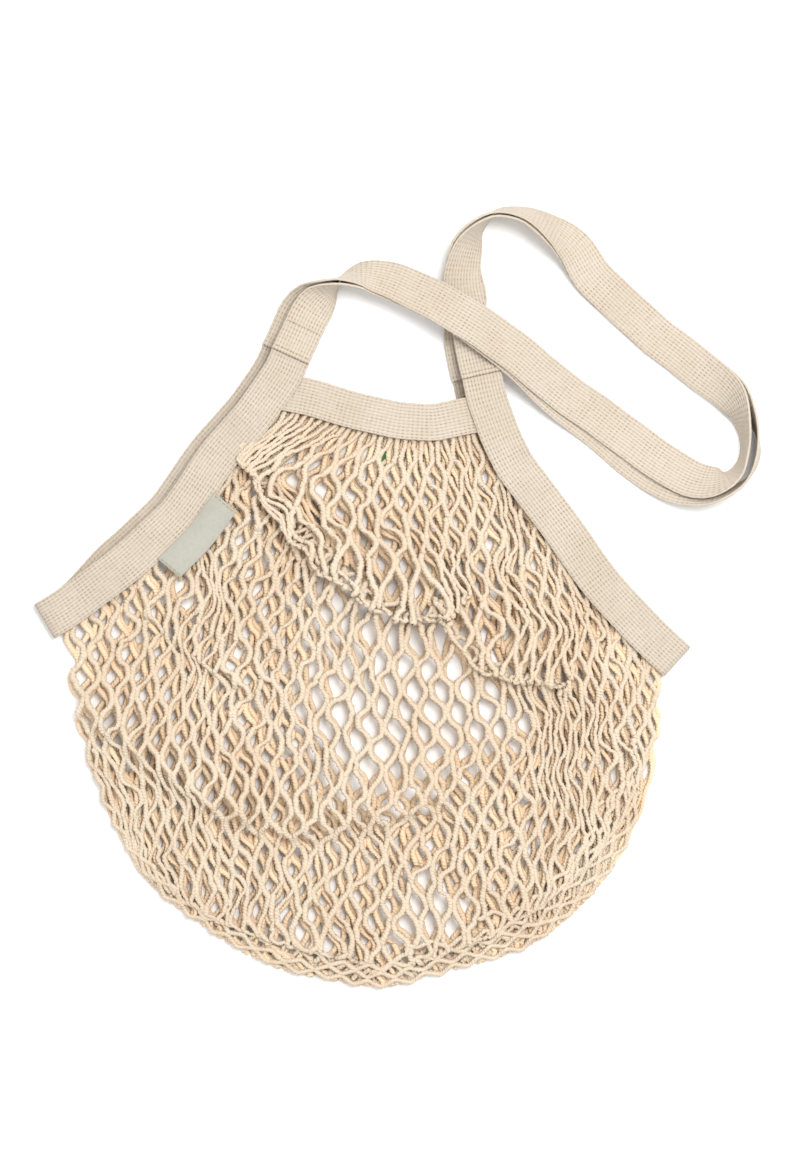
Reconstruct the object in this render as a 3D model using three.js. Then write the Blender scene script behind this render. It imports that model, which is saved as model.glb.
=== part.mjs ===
// String shopping bag of knitted cotton net with cotton tape bands and two long tape
// handles, lying flat with its handles laid over to the right.
// Millimetres, +Z up, the floor at z = 0, +Y towards the mouth.
import * as THREE from 'three';
import { mergeVertices } from 'three/addons/utils/BufferGeometryUtils.js';

// Body, measured as it lies flat.
const bodyWidth = 400;
const bodyHeight = 400;

// Woven tape of the bands and the handles.
const tapeWidth = 25.6;
const tapeThick = 1.6;
const topBandWidth = 23.5;
const seamGap = 0.3;
const handleGap = 0.5;

// Knitted net.
const netWall = 2.0;
const netBar = 7.6;
const netTuck = 8;
const mouthHollow = 5.4;
const cornerHollow = 1.4;
const bellyHollow = 7.5;
const foldRise = 5;
const hollowTaper = 60;
const bandLift = 2.6;
const bandRamp = 50;
const meshesWide = 20;
const meshesHigh = 7;

// Bands: how far the back legs peek out sideways, where the net starts from the
// corner folds, and the laps where the handles are sewn on.
const leftPeek = 7.5;
const rightPeek = -6;
const cornerClear = 13;
const cornerPull = 3.4;
const lapHeight = 11;
const lapLength = 24;
const lapGap = 0.7;

// Labels.
const labelStart = 80;
const labelLength = 56;
const labelWidth = 19;
const labelSeam = 1.5;
const careStart = 24;
const careLength = 58;
const careWidth = 21;
const labelThick = 0.8;
const labelGap = 0.4;

// Facets.
const tapeStep = 12;
const handleStep = 9;
const foldSteps = 6;

// Tables in shares of the body's width (x) and height (y), from the middle.

// Left side band, front leg, middle line from the corner fold to the handle.
const leftBand = [
  // x, y
  [-0.570, -0.040],
  [-0.525, -0.013],
  [-0.467, 0.029],
  [-0.426, 0.062],
  [-0.394, 0.093],
  [-0.360, 0.128],
  [-0.328, 0.171],
  [-0.294, 0.219],
  [-0.262, 0.256],
  [-0.229, 0.294],
  [-0.190, 0.352],
  [-0.176, 0.381],
  [-0.150, 0.438],
];

// Right side band, front leg, middle line from the corner fold to the handle.
const rightBand = [
  // x, y
  [0.445, -0.104],
  [0.382, -0.046],
  [0.325, 0.016],
  [0.264, 0.101],
  [0.214, 0.170],
  [0.184, 0.210],
  [0.162, 0.251],
  [0.147, 0.290],
  [0.138, 0.317],
  [0.130, 0.354],
  [0.123, 0.384],
  [0.117, 0.412],
];

// Top band, middle line from left to right.
const topBand = [
  // x, y
  [-0.184, 0.326],
  [-0.144, 0.317],
  [-0.080, 0.299],
  [-0.035, 0.288],
  [0.000, 0.280],
  [0.048, 0.277],
  [0.077, 0.282],
  [0.107, 0.288],
  [0.125, 0.291],
];

// Lower outline of the net, left to right.
const netOutline = [
  // x, y
  [-0.553, -0.166],
  [-0.528, -0.230],
  [-0.486, -0.310],
  [-0.438, -0.403],
  [-0.392, -0.470],
  [-0.312, -0.531],
  [-0.256, -0.568],
  [-0.189, -0.598],
  [-0.112, -0.616],
  [-0.024, -0.626],
  [0.064, -0.605],
  [0.152, -0.581],
  [0.232, -0.546],
  [0.315, -0.469],
  [0.374, -0.379],
  [0.420, -0.290],
  [0.440, -0.230],
];

// Soft folds of the front of the net, each a line with its rise and its reach
// above and below the line; rise is a share of foldRise, reach of bodyHeight.
const netFolds = [
  // x1, y1, x2, y2, rise, above, below
  [-0.240, 0.200, -0.184, 0.106, 0.75, 0.120, 0.030],
  [-0.184, 0.106, -0.032, -0.014, 0.95, 0.140, 0.030],
  [-0.032, -0.014, 0.096, -0.086, 1.00, 0.140, 0.030],
  [0.096, -0.086, 0.280, -0.150, 0.80, 0.120, 0.040],
  [-0.540, -0.170, -0.320, -0.326, 0.70, 0.050, 0.045],
  [-0.320, -0.326, -0.060, -0.330, 0.90, 0.060, 0.045],
  [-0.060, -0.330, 0.096, -0.294, 0.70, 0.060, 0.045],
  [0.320, -0.455, 0.192, -0.534, 0.60, 0.045, 0.030],
  [0.192, -0.534, 0.064, -0.582, 0.60, 0.045, 0.030],
];

// Handles, both along one route from the left band to the right band. Rise is the
// lowest edge over the floor, roll the turn of each tape about its length in degrees,
// 0 with its front face up, apart the distance between the two tapes and slip how
// far each is pushed sideways, all but the rolls in shares of the tape's width.
const handleRoute = [
  // x, y, rise, roll of front, roll of back, apart, slip of front, slip of back
  [-0.166, 0.396, 0.02, 0, 0, 0.20, 0, 0.30],
  [-0.156, 0.424, 0.02, 3, 3, 0.20, 0, 0.30],
  [-0.144, 0.450, 0.02, 22, 20, 0.17, 0, 0.22],
  [-0.126, 0.478, 0.02, 50, 46, 0.15, 0, 0.08],
  [-0.105, 0.499, 0.02, 86, 84, 0.16, 0, 0],
  [-0.077, 0.509, 0.05, 115, 115, 0.15, 0, 0],
  [-0.045, 0.511, 0.16, 143, 143, 0.095, 0, 0],
  [0.000, 0.498, 0.42, 163, 163, 0.09, 0, 0],
  [0.064, 0.467, 0.70, 176, 176, 0.09, 0, 0],
  [0.128, 0.427, 0.78, 180, 180, 0.09, 0.02, 0],
  [0.192, 0.382, 0.66, 180, 180, 0.09, 0.08, 0],
  [0.256, 0.333, 0.28, 180, 180, 0.09, 0.18, 0],
  [0.320, 0.288, 0.05, 180, 180, 0.09, 0.26, 0],
  [0.384, 0.240, 0.02, 180, 180, 0.09, 0.32, 0],
  [0.446, 0.198, 0.02, 170, 170, 0.13, 0.28, 0],
  [0.490, 0.178, 0.02, 142, 147, 0.23, 0.12, 0],
  [0.528, 0.180, 0.02, 102, 114, 0.31, 0, 0],
  [0.554, 0.204, 0.02, 84, 98, 0.34, 0, 0],
  [0.563, 0.242, 0.02, 82, 96, 0.34, 0, 0],
  [0.553, 0.284, 0.02, 102, 108, 0.26, 0, 0],
  [0.531, 0.322, 0.02, 136, 138, 0.14, 0, 0],
  [0.495, 0.352, 0.02, 163, 163, 0.09, 0, 0],
  [0.454, 0.385, 0.02, 176, 176, 0.09, 0, 0],
  [0.405, 0.424, 0.02, 180, 180, 0.09, 0, 0],
  [0.358, 0.467, 0.02, 180, 180, 0.09, 0, 0],
  [0.312, 0.510, 0.02, 182, 182, 0.09, 0, 0],
  [0.279, 0.556, 0.02, 200, 200, 0.09, 0, 0],
  [0.243, 0.586, 0.02, 228, 228, 0.10, 0, 0],
  [0.200, 0.609, 0.02, 248, 248, 0.10, 0, 0],
  [0.155, 0.612, 0.02, 262, 262, 0.11, 0, 0],
  [0.124, 0.591, 0.02, 282, 282, 0.11, 0, 0],
  [0.106, 0.560, 0.02, 312, 312, 0.10, 0, 0],
  [0.100, 0.512, 0.02, 338, 338, 0.10, 0, 0.05],
  [0.106, 0.462, 0.08, 355, 355, 0.14, 0, 0.14],
  [0.116, 0.415, 0.06, 360, 360, 0.20, 0, 0.20],
  [0.125, 0.376, 0.06, 360, 360, 0.20, 0, 0.20],
];

const cotton = new THREE.Color(0.80, 0.70, 0.55);
const netCotton = new THREE.Color(0.79, 0.69, 0.53);
const labelCloth = new THREE.Color(0.72, 0.74, 0.66);
const careCloth = new THREE.Color(0.80, 0.80, 0.74);
const bag = new THREE.Group();

function smooth(low, high, value) {
  const share = Math.min(1, Math.max(0, (value - low) / (high - low)));
  return share * share * (3 - 2 * share);
}

function mix(a, b, share) {
  return a + (b - a) * share;
}

// A smooth row between the rows of a table, at a place counted in rows.
function rowAt(rows, place) {
  const last = rows.length - 1;
  const k = Math.min(last - 1, Math.max(0, Math.floor(place)));
  const f = Math.min(1, Math.max(0, place - k));
  const p1 = rows[k];
  const p2 = rows[k + 1];
  const p0 = rows[Math.max(0, k - 1)];
  const p3 = rows[Math.min(last, k + 2)];
  return p1.map((value, c) => {
    const into = k > 0 ? (p2[c] - p0[c]) / 2 : p2[c] - p1[c];
    const out = k < last - 1 ? (p3[c] - p1[c]) / 2 : p2[c] - p1[c];
    const f2 = f * f;
    const f3 = f2 * f;
    return (2 * f3 - 3 * f2 + 1) * value + (f3 - 2 * f2 + f) * into
      + (3 * f2 - 2 * f3) * p2[c] + (f3 - f2) * out;
  });
}

// The rows of a table in millimetres, evenly spaced along the line that they draw.
function track(table, step) {
  const rows = table.map(([x, y, ...rest]) => [x * bodyWidth, y * bodyHeight, ...rest]);
  const fine = [];
  const perRow = 16;
  for (let n = 0; n <= (rows.length - 1) * perRow; n += 1) {
    fine.push(rowAt(rows, n / perRow));
  }
  const along = [0];
  for (let n = 1; n < fine.length; n += 1) {
    const run = Math.hypot(fine[n][0] - fine[n - 1][0], fine[n][1] - fine[n - 1][1]);
    along.push(along[n - 1] + run);
  }
  const length = along[along.length - 1];
  const at = (distance) => {
    const d = Math.min(length, Math.max(0, distance));
    let n = 1;
    while (n < along.length - 1 && along[n] < d) {
      n += 1;
    }
    const f = (d - along[n - 1]) / (along[n] - along[n - 1]);
    return fine[n].map((value, c) => mix(fine[n - 1][c], value, f));
  };
  const heading = (distance) => {
    const d = Math.min(length, Math.max(0, distance));
    const back = at(d - 2);
    const ahead = at(d + 2);
    const run = Math.hypot(ahead[0] - back[0], ahead[1] - back[1]);
    return [(ahead[0] - back[0]) / run, (ahead[1] - back[1]) / run];
  };
  return { at, heading, length, count: Math.max(2, Math.round(length / step)) };
}

function addPiece(name, corners, rawFaces, material) {
  const inward = solidVolume(corners, rawFaces) < 0;
  const faces = inward ? rawFaces.map(([a, b, c]) => [a, c, b]) : rawFaces;
  const geometry = new THREE.BufferGeometry();
  geometry.setAttribute('position', new THREE.Float32BufferAttribute(corners.flat(), 3));
  geometry.setIndex(faces.flat());
  const merged = mergeVertices(geometry, 1e-4);
  const mesh = new THREE.Mesh(merged, material);
  mesh.name = name;
  bag.add(mesh);
  return mesh;
}

function clothMaterial(color, roughness) {
  return new THREE.MeshStandardMaterial({ color, roughness, metalness: 0 });
}

// A flat tape with softened edges through stations that hold a point, the
// direction across the tape and the direction out of its front face.
function addTape(name, stations, width, thick, material) {
  const half = width / 2;
  const face = thick / 2;
  const soft = thick * 0.4;
  const section = [
    [-half, -face + soft],
    [-half + soft, -face],
    [half - soft, -face],
    [half, -face + soft],
    [half, face - soft],
    [half - soft, face],
    [-half + soft, face],
    [-half, face - soft],
  ];
  const corners = [];
  const faces = [];
  const round = section.length;
  stations.forEach(({ point, across, out }) => {
    section.forEach(([a, b]) => {
      corners.push([0, 1, 2].map((c) => point[c] + across[c] * a + out[c] * b));
    });
  });
  for (let s = 0; s < stations.length - 1; s += 1) {
    for (let k = 0; k < round; k += 1) {
      const a = s * round + k;
      const b = s * round + ((k + 1) % round);
      // Both faces crease along the same diagonal, so a twisted tape keeps its thickness.
      if (k < round / 2) {
        faces.push([a, b, b + round], [a, b + round, a + round]);
      } else {
        faces.push([a, b, a + round], [b, b + round, a + round]);
      }
    }
  }
  const end = (stations.length - 1) * round;
  for (let k = 1; k < round - 1; k += 1) {
    faces.push([0, k + 1, k], [end, end + k, end + k + 1]);
  }
  return addPiece(name, corners, faces, material);
}

const leftTrack = track(leftBand, tapeStep);
const rightTrack = track(rightBand, tapeStep);
const topTrack = track(topBand, tapeStep);

// A point beside a band, on the net's side of its middle line.
function beside(line, distance, offset, side) {
  const [x, y] = line.at(distance);
  const [hx, hy] = line.heading(distance);
  return [x + hy * offset * side, y - hx * offset * side];
}

// Where a side band passes the top band, as a distance from the corner.
function crossing(line, end) {
  const [ex, ey] = topTrack.at(end);
  let best = 0;
  let nearest = Infinity;
  for (let d = 0; d <= line.length; d += 1) {
    const [x, y] = line.at(d);
    const gap = Math.hypot(x - ex, y - ey);
    if (gap < nearest) {
      nearest = gap;
      best = d;
    }
  }
  return best;
}

const leftJoin = crossing(leftTrack, 0);
const rightJoin = crossing(rightTrack, topTrack.length);
const netEdge = tapeWidth / 2 - netTuck;
const topEdge = topBandWidth / 2 - netTuck;

// The edge of the net under the bands, from the left corner to the right one.
function mouthPoint(share) {
  const third = 1 / 3;
  if (share < third) {
    const reach = leftJoin - topBandWidth * 0.62;
    return beside(leftTrack, mix(cornerClear, reach, share / third), netEdge, 1);
  }
  if (share > 2 * third) {
    const reach = rightJoin - topBandWidth * 0.55;
    return beside(rightTrack, mix(cornerClear, reach, (1 - share) / third), netEdge, -1);
  }
  const start = tapeWidth * 0.40;
  const run = topTrack.length - tapeWidth * 0.80;
  return beside(topTrack, start + run * (share / third - 1), topEdge, 1);
}

const outlineTrack = track(netOutline, tapeStep);

function outlinePoint(share) {
  return outlineTrack.at(share * outlineTrack.length);
}

function netPoint(u, v) {
  const [mx, my] = mouthPoint(u);
  const [bx, by] = outlinePoint(u);
  const side = u < 0.5 ? 1 : -1;
  const pull = cornerPull * (1 - smooth(0, 0.12, Math.min(u, 1 - u)));
  return [
    mix(mx, bx, v) + side * pull * Math.sin(Math.PI * Math.sqrt(v)),
    mix(my, by, v),
  ];
}

function foldHeight(x, y) {
  let most = 0;
  netFolds.forEach(([x1, y1, x2, y2, rise, above, below]) => {
    const ax = x1 * bodyWidth;
    const ay = y1 * bodyHeight;
    const dx = x2 * bodyWidth - ax;
    const dy = y2 * bodyHeight - ay;
    const raw = ((x - ax) * dx + (y - ay) * dy) / (dx * dx + dy * dy);
    const along = Math.min(1, Math.max(0, raw));
    const gap = Math.hypot(x - ax - dx * along, y - ay - dy * along);
    const reach = (y > ay + dy * along ? above : below) * bodyHeight;
    most = Math.max(most, rise * foldRise * Math.exp(-((gap / reach) ** 2)));
  });
  return most;
}

// Heights of the net over the floor at one place of the fan.
function netHeights(u, v) {
  const [x, y] = netPoint(u, v);
  const [mx, my] = mouthPoint(u);
  const [bx, by] = outlinePoint(u);
  const fromMouth = Math.hypot(x - mx, y - my);
  const toRim = Math.min(Math.hypot(x - bx, y - by), rimDistance(x, y));
  const rim = Math.min(1, toRim / hollowTaper);
  const corner = mix(cornerHollow, mouthHollow, smooth(0, 0.16, Math.min(u, 1 - u)));
  const belly = mix(cornerHollow, bellyHollow, Math.sqrt(rim * (2 - rim)));
  const hollow = mix(corner, Math.max(corner * rim, belly), smooth(0, bandRamp * 2, fromMouth));
  const lift = bandLift * Math.max(0, 1 - fromMouth / bandRamp);
  const fold = foldHeight(x, y) * smooth(bandRamp * 0.2, bandRamp * 1.6, fromMouth) * rim;
  return { low: lift, high: lift + netWall * 2 + hollow + fold };
}

// Distance to the folded side edges of the net, which start at the corners.
function rimDistance(x, y) {
  const [lx, ly] = mouthPoint(0);
  const [rx, ry] = mouthPoint(1);
  return Math.min(Math.hypot(x - lx, y - ly), Math.hypot(x - rx, y - ry)) + cornerHollow;
}

// The net: front and back walls of one lattice of diamonds, joined at the rim.
function buildNet() {
  const points = [];
  const flat = [];
  const index = new Map();
  const place = (i, j) => {
    const key = `${i},${j}`;
    if (!index.has(key)) {
      index.set(key, points.length);
      points.push(netPoint(i / meshesWide, j / meshesHigh));
      flat.push([i / meshesWide, j / meshesHigh]);
    }
    return index.get(key);
  };
  const faces = [];
  const holes = [];
  const turns = [[-1, 0], [0, -1], [1, 0], [0, 1]];
  for (let i = 0; i <= meshesWide; i += 1) {
    for (let j = 0; j <= meshesHigh; j += 1) {
      if ((i + j) % 2 === 1) {
        const ring = [];
        turns.forEach(([di, dj], k) => {
          const [ni, nj] = turns[(k + 1) % 4];
          ring.push([i + di, j + dj], [i + (di + ni) / 2, j + (dj + nj) / 2]);
        });
        const inside = ([a, b]) => a >= 0 && b >= 0 && a <= meshesWide && b <= meshesHigh;
        if (ring.every(inside)) {
          const outer = ring.map(([a, b]) => place(a, b));
          const [cx, cy] = netPoint(i / meshesWide, j / meshesHigh);
          const inner = [];
          outer.forEach((n, k) => {
            const [px, py] = points[n];
            const before = points[outer[(k + 7) % 8]];
            const after = points[outer[(k + 1) % 8]];
            const run = Math.hypot(after[0] - before[0], after[1] - before[1]);
            const area = Math.abs((after[0] - before[0]) * (cy - before[1])
              - (after[1] - before[1]) * (cx - before[0]));
            const reach = area / run;
            const keep = Math.max(0.42, 1 - netBar / 2 / reach);
            inner.push(points.length);
            points.push([mix(cx, px, keep), mix(cy, py, keep)]);
            const [pu, pv] = flat[n];
            flat.push([mix(i / meshesWide, pu, keep), mix(j / meshesHigh, pv, keep)]);
          });
          outer.forEach((n, k) => {
            const m = (k + 1) % 8;
            faces.push([n, outer[m], inner[m]], [n, inner[m], inner[k]]);
          });
          holes.push(inner);
        } else {
          const arc = [];
          for (let k = 0; k < 8; k += 1) {
            if (inside(ring[k])) {
              arc.push(k);
            }
          }
          let start = 0;
          arc.forEach((k, n) => {
            const previous = arc[(n + arc.length - 1) % arc.length];
            if ((k - previous + 8) % 8 > 1) {
              start = n;
            }
          });
          const order = arc.map((k, n) => ring[arc[(start + n) % arc.length]]);
          const centre = place(i, j);
          for (let n = 0; n < order.length - 1; n += 1) {
            faces.push([centre, place(...order[n]), place(...order[n + 1])]);
          }
        }
      }
    }
  }
  return { points, flat, faces, holes, place };
}

function addNet(name, material) {
  const { points, flat, faces, holes, place } = buildNet();
  const count = points.length;
  const corners = [[], [], [], []];
  points.forEach(([x, y], n) => {
    const { low, high } = netHeights(...flat[n]);
    corners[0].push([x, y, high]);
    corners[1].push([x, y, high - netWall]);
    corners[2].push([x, y, low + netWall]);
    corners[3].push([x, y, low]);
  });
  const all = corners.flat();
  const solid = [];
  const skin = (layer, flip) => {
    faces.forEach(([a, b, c]) => {
      const base = layer * count;
      solid.push(flip ? [base + a, base + c, base + b] : [base + a, base + b, base + c]);
    });
  };
  skin(0, false);
  skin(1, true);
  skin(2, false);
  skin(3, true);
  const strip = (line, upper, lower) => {
    for (let k = 0; k < line.length - 1; k += 1) {
      const a = line[k];
      const b = line[k + 1];
      solid.push([upper + a, lower + a, lower + b], [upper + a, lower + b, upper + b]);
    }
  };
  holes.forEach((hole) => {
    const loop = [...hole, hole[0]];
    loop.reverse();
    strip(loop, 0, count);
    strip(loop, 2 * count, 3 * count);
  });
  const mouth = [];
  for (let i = 0; i <= meshesWide; i += 1) {
    mouth.push(place(i, 0));
  }
  strip(mouth, 0, count);
  strip(mouth, 2 * count, 3 * count);
  // The rim runs down the left edge, along the outline and up the right edge.
  const rim = [];
  for (let j = 0; j < meshesHigh; j += 1) {
    rim.push([0, j]);
  }
  for (let i = 0; i < meshesWide; i += 1) {
    rim.push([i, meshesHigh]);
  }
  for (let j = meshesHigh; j >= 0; j -= 1) {
    rim.push([meshesWide, j]);
  }
  const line = rim.map(([i, j]) => place(i, j));
  const bulge = line.map((n, k) => {
    const before = points[line[Math.max(0, k - 1)]];
    const after = points[line[Math.min(line.length - 1, k + 1)]];
    const run = Math.hypot(after[0] - before[0], after[1] - before[1]);
    const [x, y] = points[n];
    const middle = (corners[0][n][2] + corners[3][n][2]) / 2;
    all.push([
      x + (after[1] - before[1]) / run * netWall,
      y - (after[0] - before[0]) / run * netWall,
      middle,
    ]);
    return all.length - 1;
  });
  for (let k = 0; k < line.length - 1; k += 1) {
    const a = line[k];
    const b = line[k + 1];
    const c = bulge[k];
    const d = bulge[k + 1];
    solid.push([a, d, c], [a, b, d]);
    solid.push([c, 3 * count + b, 3 * count + a], [c, d, 3 * count + b]);
    solid.push([count + a, 2 * count + b, count + b], [count + a, 2 * count + a, 2 * count + b]);
  }
  [0, line.length - 1].forEach((k) => {
    const n = line[k];
    const loop = [n, count + n, 2 * count + n, 3 * count + n];
    loop.forEach((a, m) => {
      if (m < 3) {
        solid.push(k === 0 ? [bulge[k], loop[m + 1], a] : [bulge[k], a, loop[m + 1]]);
      }
    });
  });
  return addPiece(name, all, solid, material);
}

function solidVolume(corners, faces) {
  let sum = 0;
  faces.forEach(([a, b, c]) => {
    const [p, q, r] = [corners[a], corners[b], corners[c]];
    sum += p[0] * (q[1] * r[2] - q[2] * r[1]) + p[1] * (q[2] * r[0] - q[0] * r[2])
      + p[2] * (q[0] * r[1] - q[1] * r[0]);
  });
  return sum / 6;
}

// Height of the middle of a front band over the net's edge beneath it.
function frontBandHeight(u) {
  const edge = netHeights(u, 0);
  const [mx, my] = mouthPoint(u);
  const [bx, by] = outlinePoint(u);
  const run = Math.hypot(bx - mx, by - my);
  let top = edge.high;
  [1, 2].forEach((j) => {
    const far = netHeights(u, j / meshesHigh);
    const reach = run * j / meshesHigh;
    const share = Math.min(1, netTuck * 1.5 / reach);
    top = Math.max(top, mix(edge.high, far.high, share));
  });
  return top + seamGap * 1.5 + tapeThick / 2;
}

// What a side band is: its line, its join with the top band and its two legs.
function sideBand(line, join, side, peek, peekFrom, peekTo) {
  const low = tapeThick / 2;
  const uAt = (distance) => {
    const share = Math.min(1, Math.max(0, (distance - cornerClear) / (join - cornerClear))) / 3;
    return side > 0 ? share : 1 - share;
  };
  const high = (distance) => {
    let top = 0;
    [-1, -0.5, 0, 0.5, 1].forEach((shift) => {
      const d = Math.min(join, Math.max(0, distance + shift * tapeWidth));
      top = Math.max(top, frontBandHeight(uAt(d)));
    });
    const over = smooth(join - tapeWidth * 1.9, join - tapeWidth * 1.1, distance);
    const rest = top + over * (tapeThick + seamGap);
    const fall = smooth(join + tapeWidth * 0.8, join + tapeWidth * 1.4, distance);
    return mix(rest, lapHeight, fall);
  };
  const stagger = (distance) => peek * smooth(peekFrom, peekTo, distance);
  const place = (distance, aside, height) => {
    const over = Math.max(0, distance - line.length);
    const [x, y] = line.at(distance);
    const [hx, hy] = line.heading(distance);
    return [
      x + hx * over - hy * aside * side,
      y + hy * over + hx * aside * side,
      height,
    ];
  };
  return { line, join, side, low, high, stagger, place, uAt };
}

// A side band: its back leg on the floor, the fold at the corner, its front leg.
function addSideBand(name, band, material) {
  const { line, low, high, stagger, place } = band;
  const reach = (high(0) - low) / 2;
  const steps = line.count;
  const across = (distance) => {
    const [hx, hy] = line.heading(distance);
    return [hy, -hx, 0];
  };
  const stations = [];
  for (let k = steps; k >= 1; k -= 1) {
    const distance = mix(reach, line.length, k / steps);
    const point = place(distance, stagger(distance), low);
    stations.push({ point, across: across(distance), out: [0, 0, -1] });
  }
  const [cx, cy] = line.at(0);
  const [hx, hy] = line.heading(0);
  for (let k = 0; k <= foldSteps; k += 1) {
    const turn = Math.PI * k / foldSteps;
    const back = Math.sin(turn) * reach;
    const lift = (1 - Math.cos(turn)) * reach;
    stations.push({
      point: [cx + hx * (reach - back), cy + hy * (reach - back), low + lift],
      across: across(0),
      out: [-hx * Math.sin(turn), -hy * Math.sin(turn), -Math.cos(turn)],
    });
  }
  for (let k = 1; k <= steps; k += 1) {
    const distance = mix(reach, line.length, k / steps);
    const point = place(distance, 0, high(distance));
    stations.push({ point, across: across(distance), out: [0, 0, 1] });
  }
  return addTape(name, stations, tapeWidth, tapeThick, material);
}

function topHeight(distance) {
  const share = (distance - tapeWidth * 0.40) / (topTrack.length - tapeWidth * 0.80);
  let top = 0;
  [-0.12, -0.06, 0, 0.06, 0.12].forEach((shift) => {
    const u = (1 + Math.min(1, Math.max(0, share + shift))) / 3;
    top = Math.max(top, frontBandHeight(u));
  });
  return top;
}

function addTopBand(name, from, to, height, material) {
  const steps = Math.max(4, Math.round((to - from) / tapeStep));
  const stations = [];
  for (let k = 0; k <= steps; k += 1) {
    const distance = mix(from, to, k / steps);
    const [x, y] = topTrack.at(distance);
    const [hx, hy] = topTrack.heading(distance);
    stations.push({ point: [x, y, height(distance)], across: [-hy, hx, 0], out: [0, 0, 1] });
  }
  return addTape(name, stations, topBandWidth, tapeThick, material);
}

function unit(v) {
  const size = Math.hypot(...v);
  return v.map((c) => c / size);
}

function cross(a, b) {
  return [
    a[1] * b[2] - a[2] * b[1],
    a[2] * b[0] - a[0] * b[2],
    a[0] * b[1] - a[1] * b[0],
  ];
}

// A handle: its route with its own roll and slip, each end lapped over a side band.
function addHandle(name, front, material) {
  const line = track(handleRoute, handleStep);
  const sign = front ? 1 : -1;
  const steps = line.count;
  const stations = [];
  for (let k = 0; k <= steps; k += 1) {
    const distance = line.length * k / steps;
    const row = line.at(distance);
    const [x, y, rise, rollFront, rollBack, apart, slipFront, slipBack] = row;
    const [hx, hy] = line.heading(distance);
    const frame = (degrees) => {
      const turn = degrees * Math.PI / 180;
      return {
        across: [-hy * Math.cos(turn), hx * Math.cos(turn), Math.sin(turn)],
        out: [hy * Math.sin(turn), -hx * Math.sin(turn), Math.cos(turn)],
      };
    };
    const stack = frame((rollFront + rollBack) / 2);
    const spread = Math.max(tapeThick + handleGap, apart * tapeWidth) / 2;
    const slips = [slipFront, slipBack].map((share) => share * tapeWidth);
    const floor = [rollFront, rollBack].map((degrees, n) => {
      const own = frame(degrees);
      const tall = Math.abs(own.across[2]) * tapeWidth / 2 + Math.abs(own.out[2]) * tapeThick / 2;
      return tall - stack.out[2] * spread * (n === 0 ? 1 : -1) - stack.across[2] * slips[n];
    });
    const middle = [x, y, rise * tapeWidth + Math.max(...floor)];
    const own = frame(front ? rollFront : rollBack);
    const slip = front ? slips[0] : slips[1];
    let point = middle.map((c, n) => c + stack.out[n] * spread * sign + stack.across[n] * slip);
    let { across } = own;
    const fromEnd = Math.min(distance, line.length - distance);
    const weight = 1 - smooth(lapLength, lapLength * 2, fromEnd);
    if (weight > 0) {
      const atStart = distance < line.length / 2;
      const band = atStart ? leftSide : rightSide;
      const along = band.line.length - lapLength + fromEnd;
      const aside = front ? 0 : band.stagger(along);
      const height = (front ? band.high(along) : band.low) + tapeThick + lapGap;
      const [bx, by] = band.line.heading(along);
      const flat = atStart ? [-by, bx, 0] : [by, -bx, 0];
      const lap = band.place(along, aside, height);
      point = point.map((c, n) => mix(c, lap[n], weight));
      across = unit(across.map((c, n) => mix(c, flat[n], weight)));
    }
    stations.push({ point, across });
  }
  stations.forEach((station, k) => {
    const before = stations[Math.max(0, k - 1)].point;
    const after = stations[Math.min(stations.length - 1, k + 1)].point;
    const ahead = unit(after.map((c, n) => c - before[n]));
    const out = unit(cross(ahead, station.across));
    stations[k] = { ...station, out, across: unit(cross(out, ahead)) };
  });
  return addTape(name, stations, tapeWidth, tapeThick, material);
}

// A thin cloth label that lies along a line, from its near edge to its far edge.
function addLabel(name, line, from, length, near, width, side, heights, material) {
  const steps = Math.max(3, Math.round(length / tapeStep * 1.5));
  const stations = [];
  for (let k = 0; k <= steps; k += 1) {
    const distance = from + length * k / steps;
    const [x, y] = line.at(distance);
    const [hx, hy] = line.heading(from + length / 2);
    const [low, high] = heights(distance);
    const edge = (offset, z) => [x + hy * offset * side, y - hx * offset * side, z];
    const start = edge(near, low);
    const end = edge(near + width, high);
    const across = unit(end.map((c, n) => c - start[n]));
    const point = start.map((c, n) => (c + end[n]) / 2);
    stations.push({ point, across, out: unit(cross([hx, hy, 0], across)) });
  }
  return addTape(name, stations, width, labelThick, material);
}

const leftSide = sideBand(
  leftTrack,
  leftJoin,
  1,
  leftPeek,
  tapeWidth * 0.5,
  tapeWidth * 2.5,
);
const rightSide = sideBand(
  rightTrack,
  rightJoin,
  -1,
  rightPeek,
  rightJoin - tapeWidth,
  rightJoin + tapeWidth * 0.5,
);

addNet('net_body', clothMaterial(netCotton, 0.95));
addTopBand('front_band', 0, topTrack.length, topHeight, clothMaterial(cotton, 0.92));
addTopBand(
  'back_band',
  tapeWidth * 0.62,
  topTrack.length - tapeWidth * 0.62,
  () => tapeThick / 2,
  clothMaterial(cotton, 0.92),
);
addSideBand('left_side_band', leftSide, clothMaterial(cotton, 0.92));
addSideBand('right_side_band', rightSide, clothMaterial(cotton, 0.92));
addHandle('front_handle', true, clothMaterial(cotton, 0.92));
addHandle('back_handle', false, clothMaterial(cotton, 0.92));

// The sewn label: its near edge laps the left band, the rest lies over the net.
addLabel(
  'label',
  leftTrack,
  labelStart,
  labelLength,
  tapeWidth / 2 - labelSeam,
  labelWidth,
  1,
  (distance) => {
    const u = leftSide.uAt(distance);
    const over = [0.05, 0.10, 0.15, 0.20].map((v) => netHeights(u, v).high);
    const base = leftSide.high(distance) + tapeThick / 2 + labelGap + labelThick / 2;
    return [base, Math.max(base, Math.max(...over) + labelGap + labelThick / 2)];
  },
  clothMaterial(labelCloth, 0.6),
);

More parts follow.
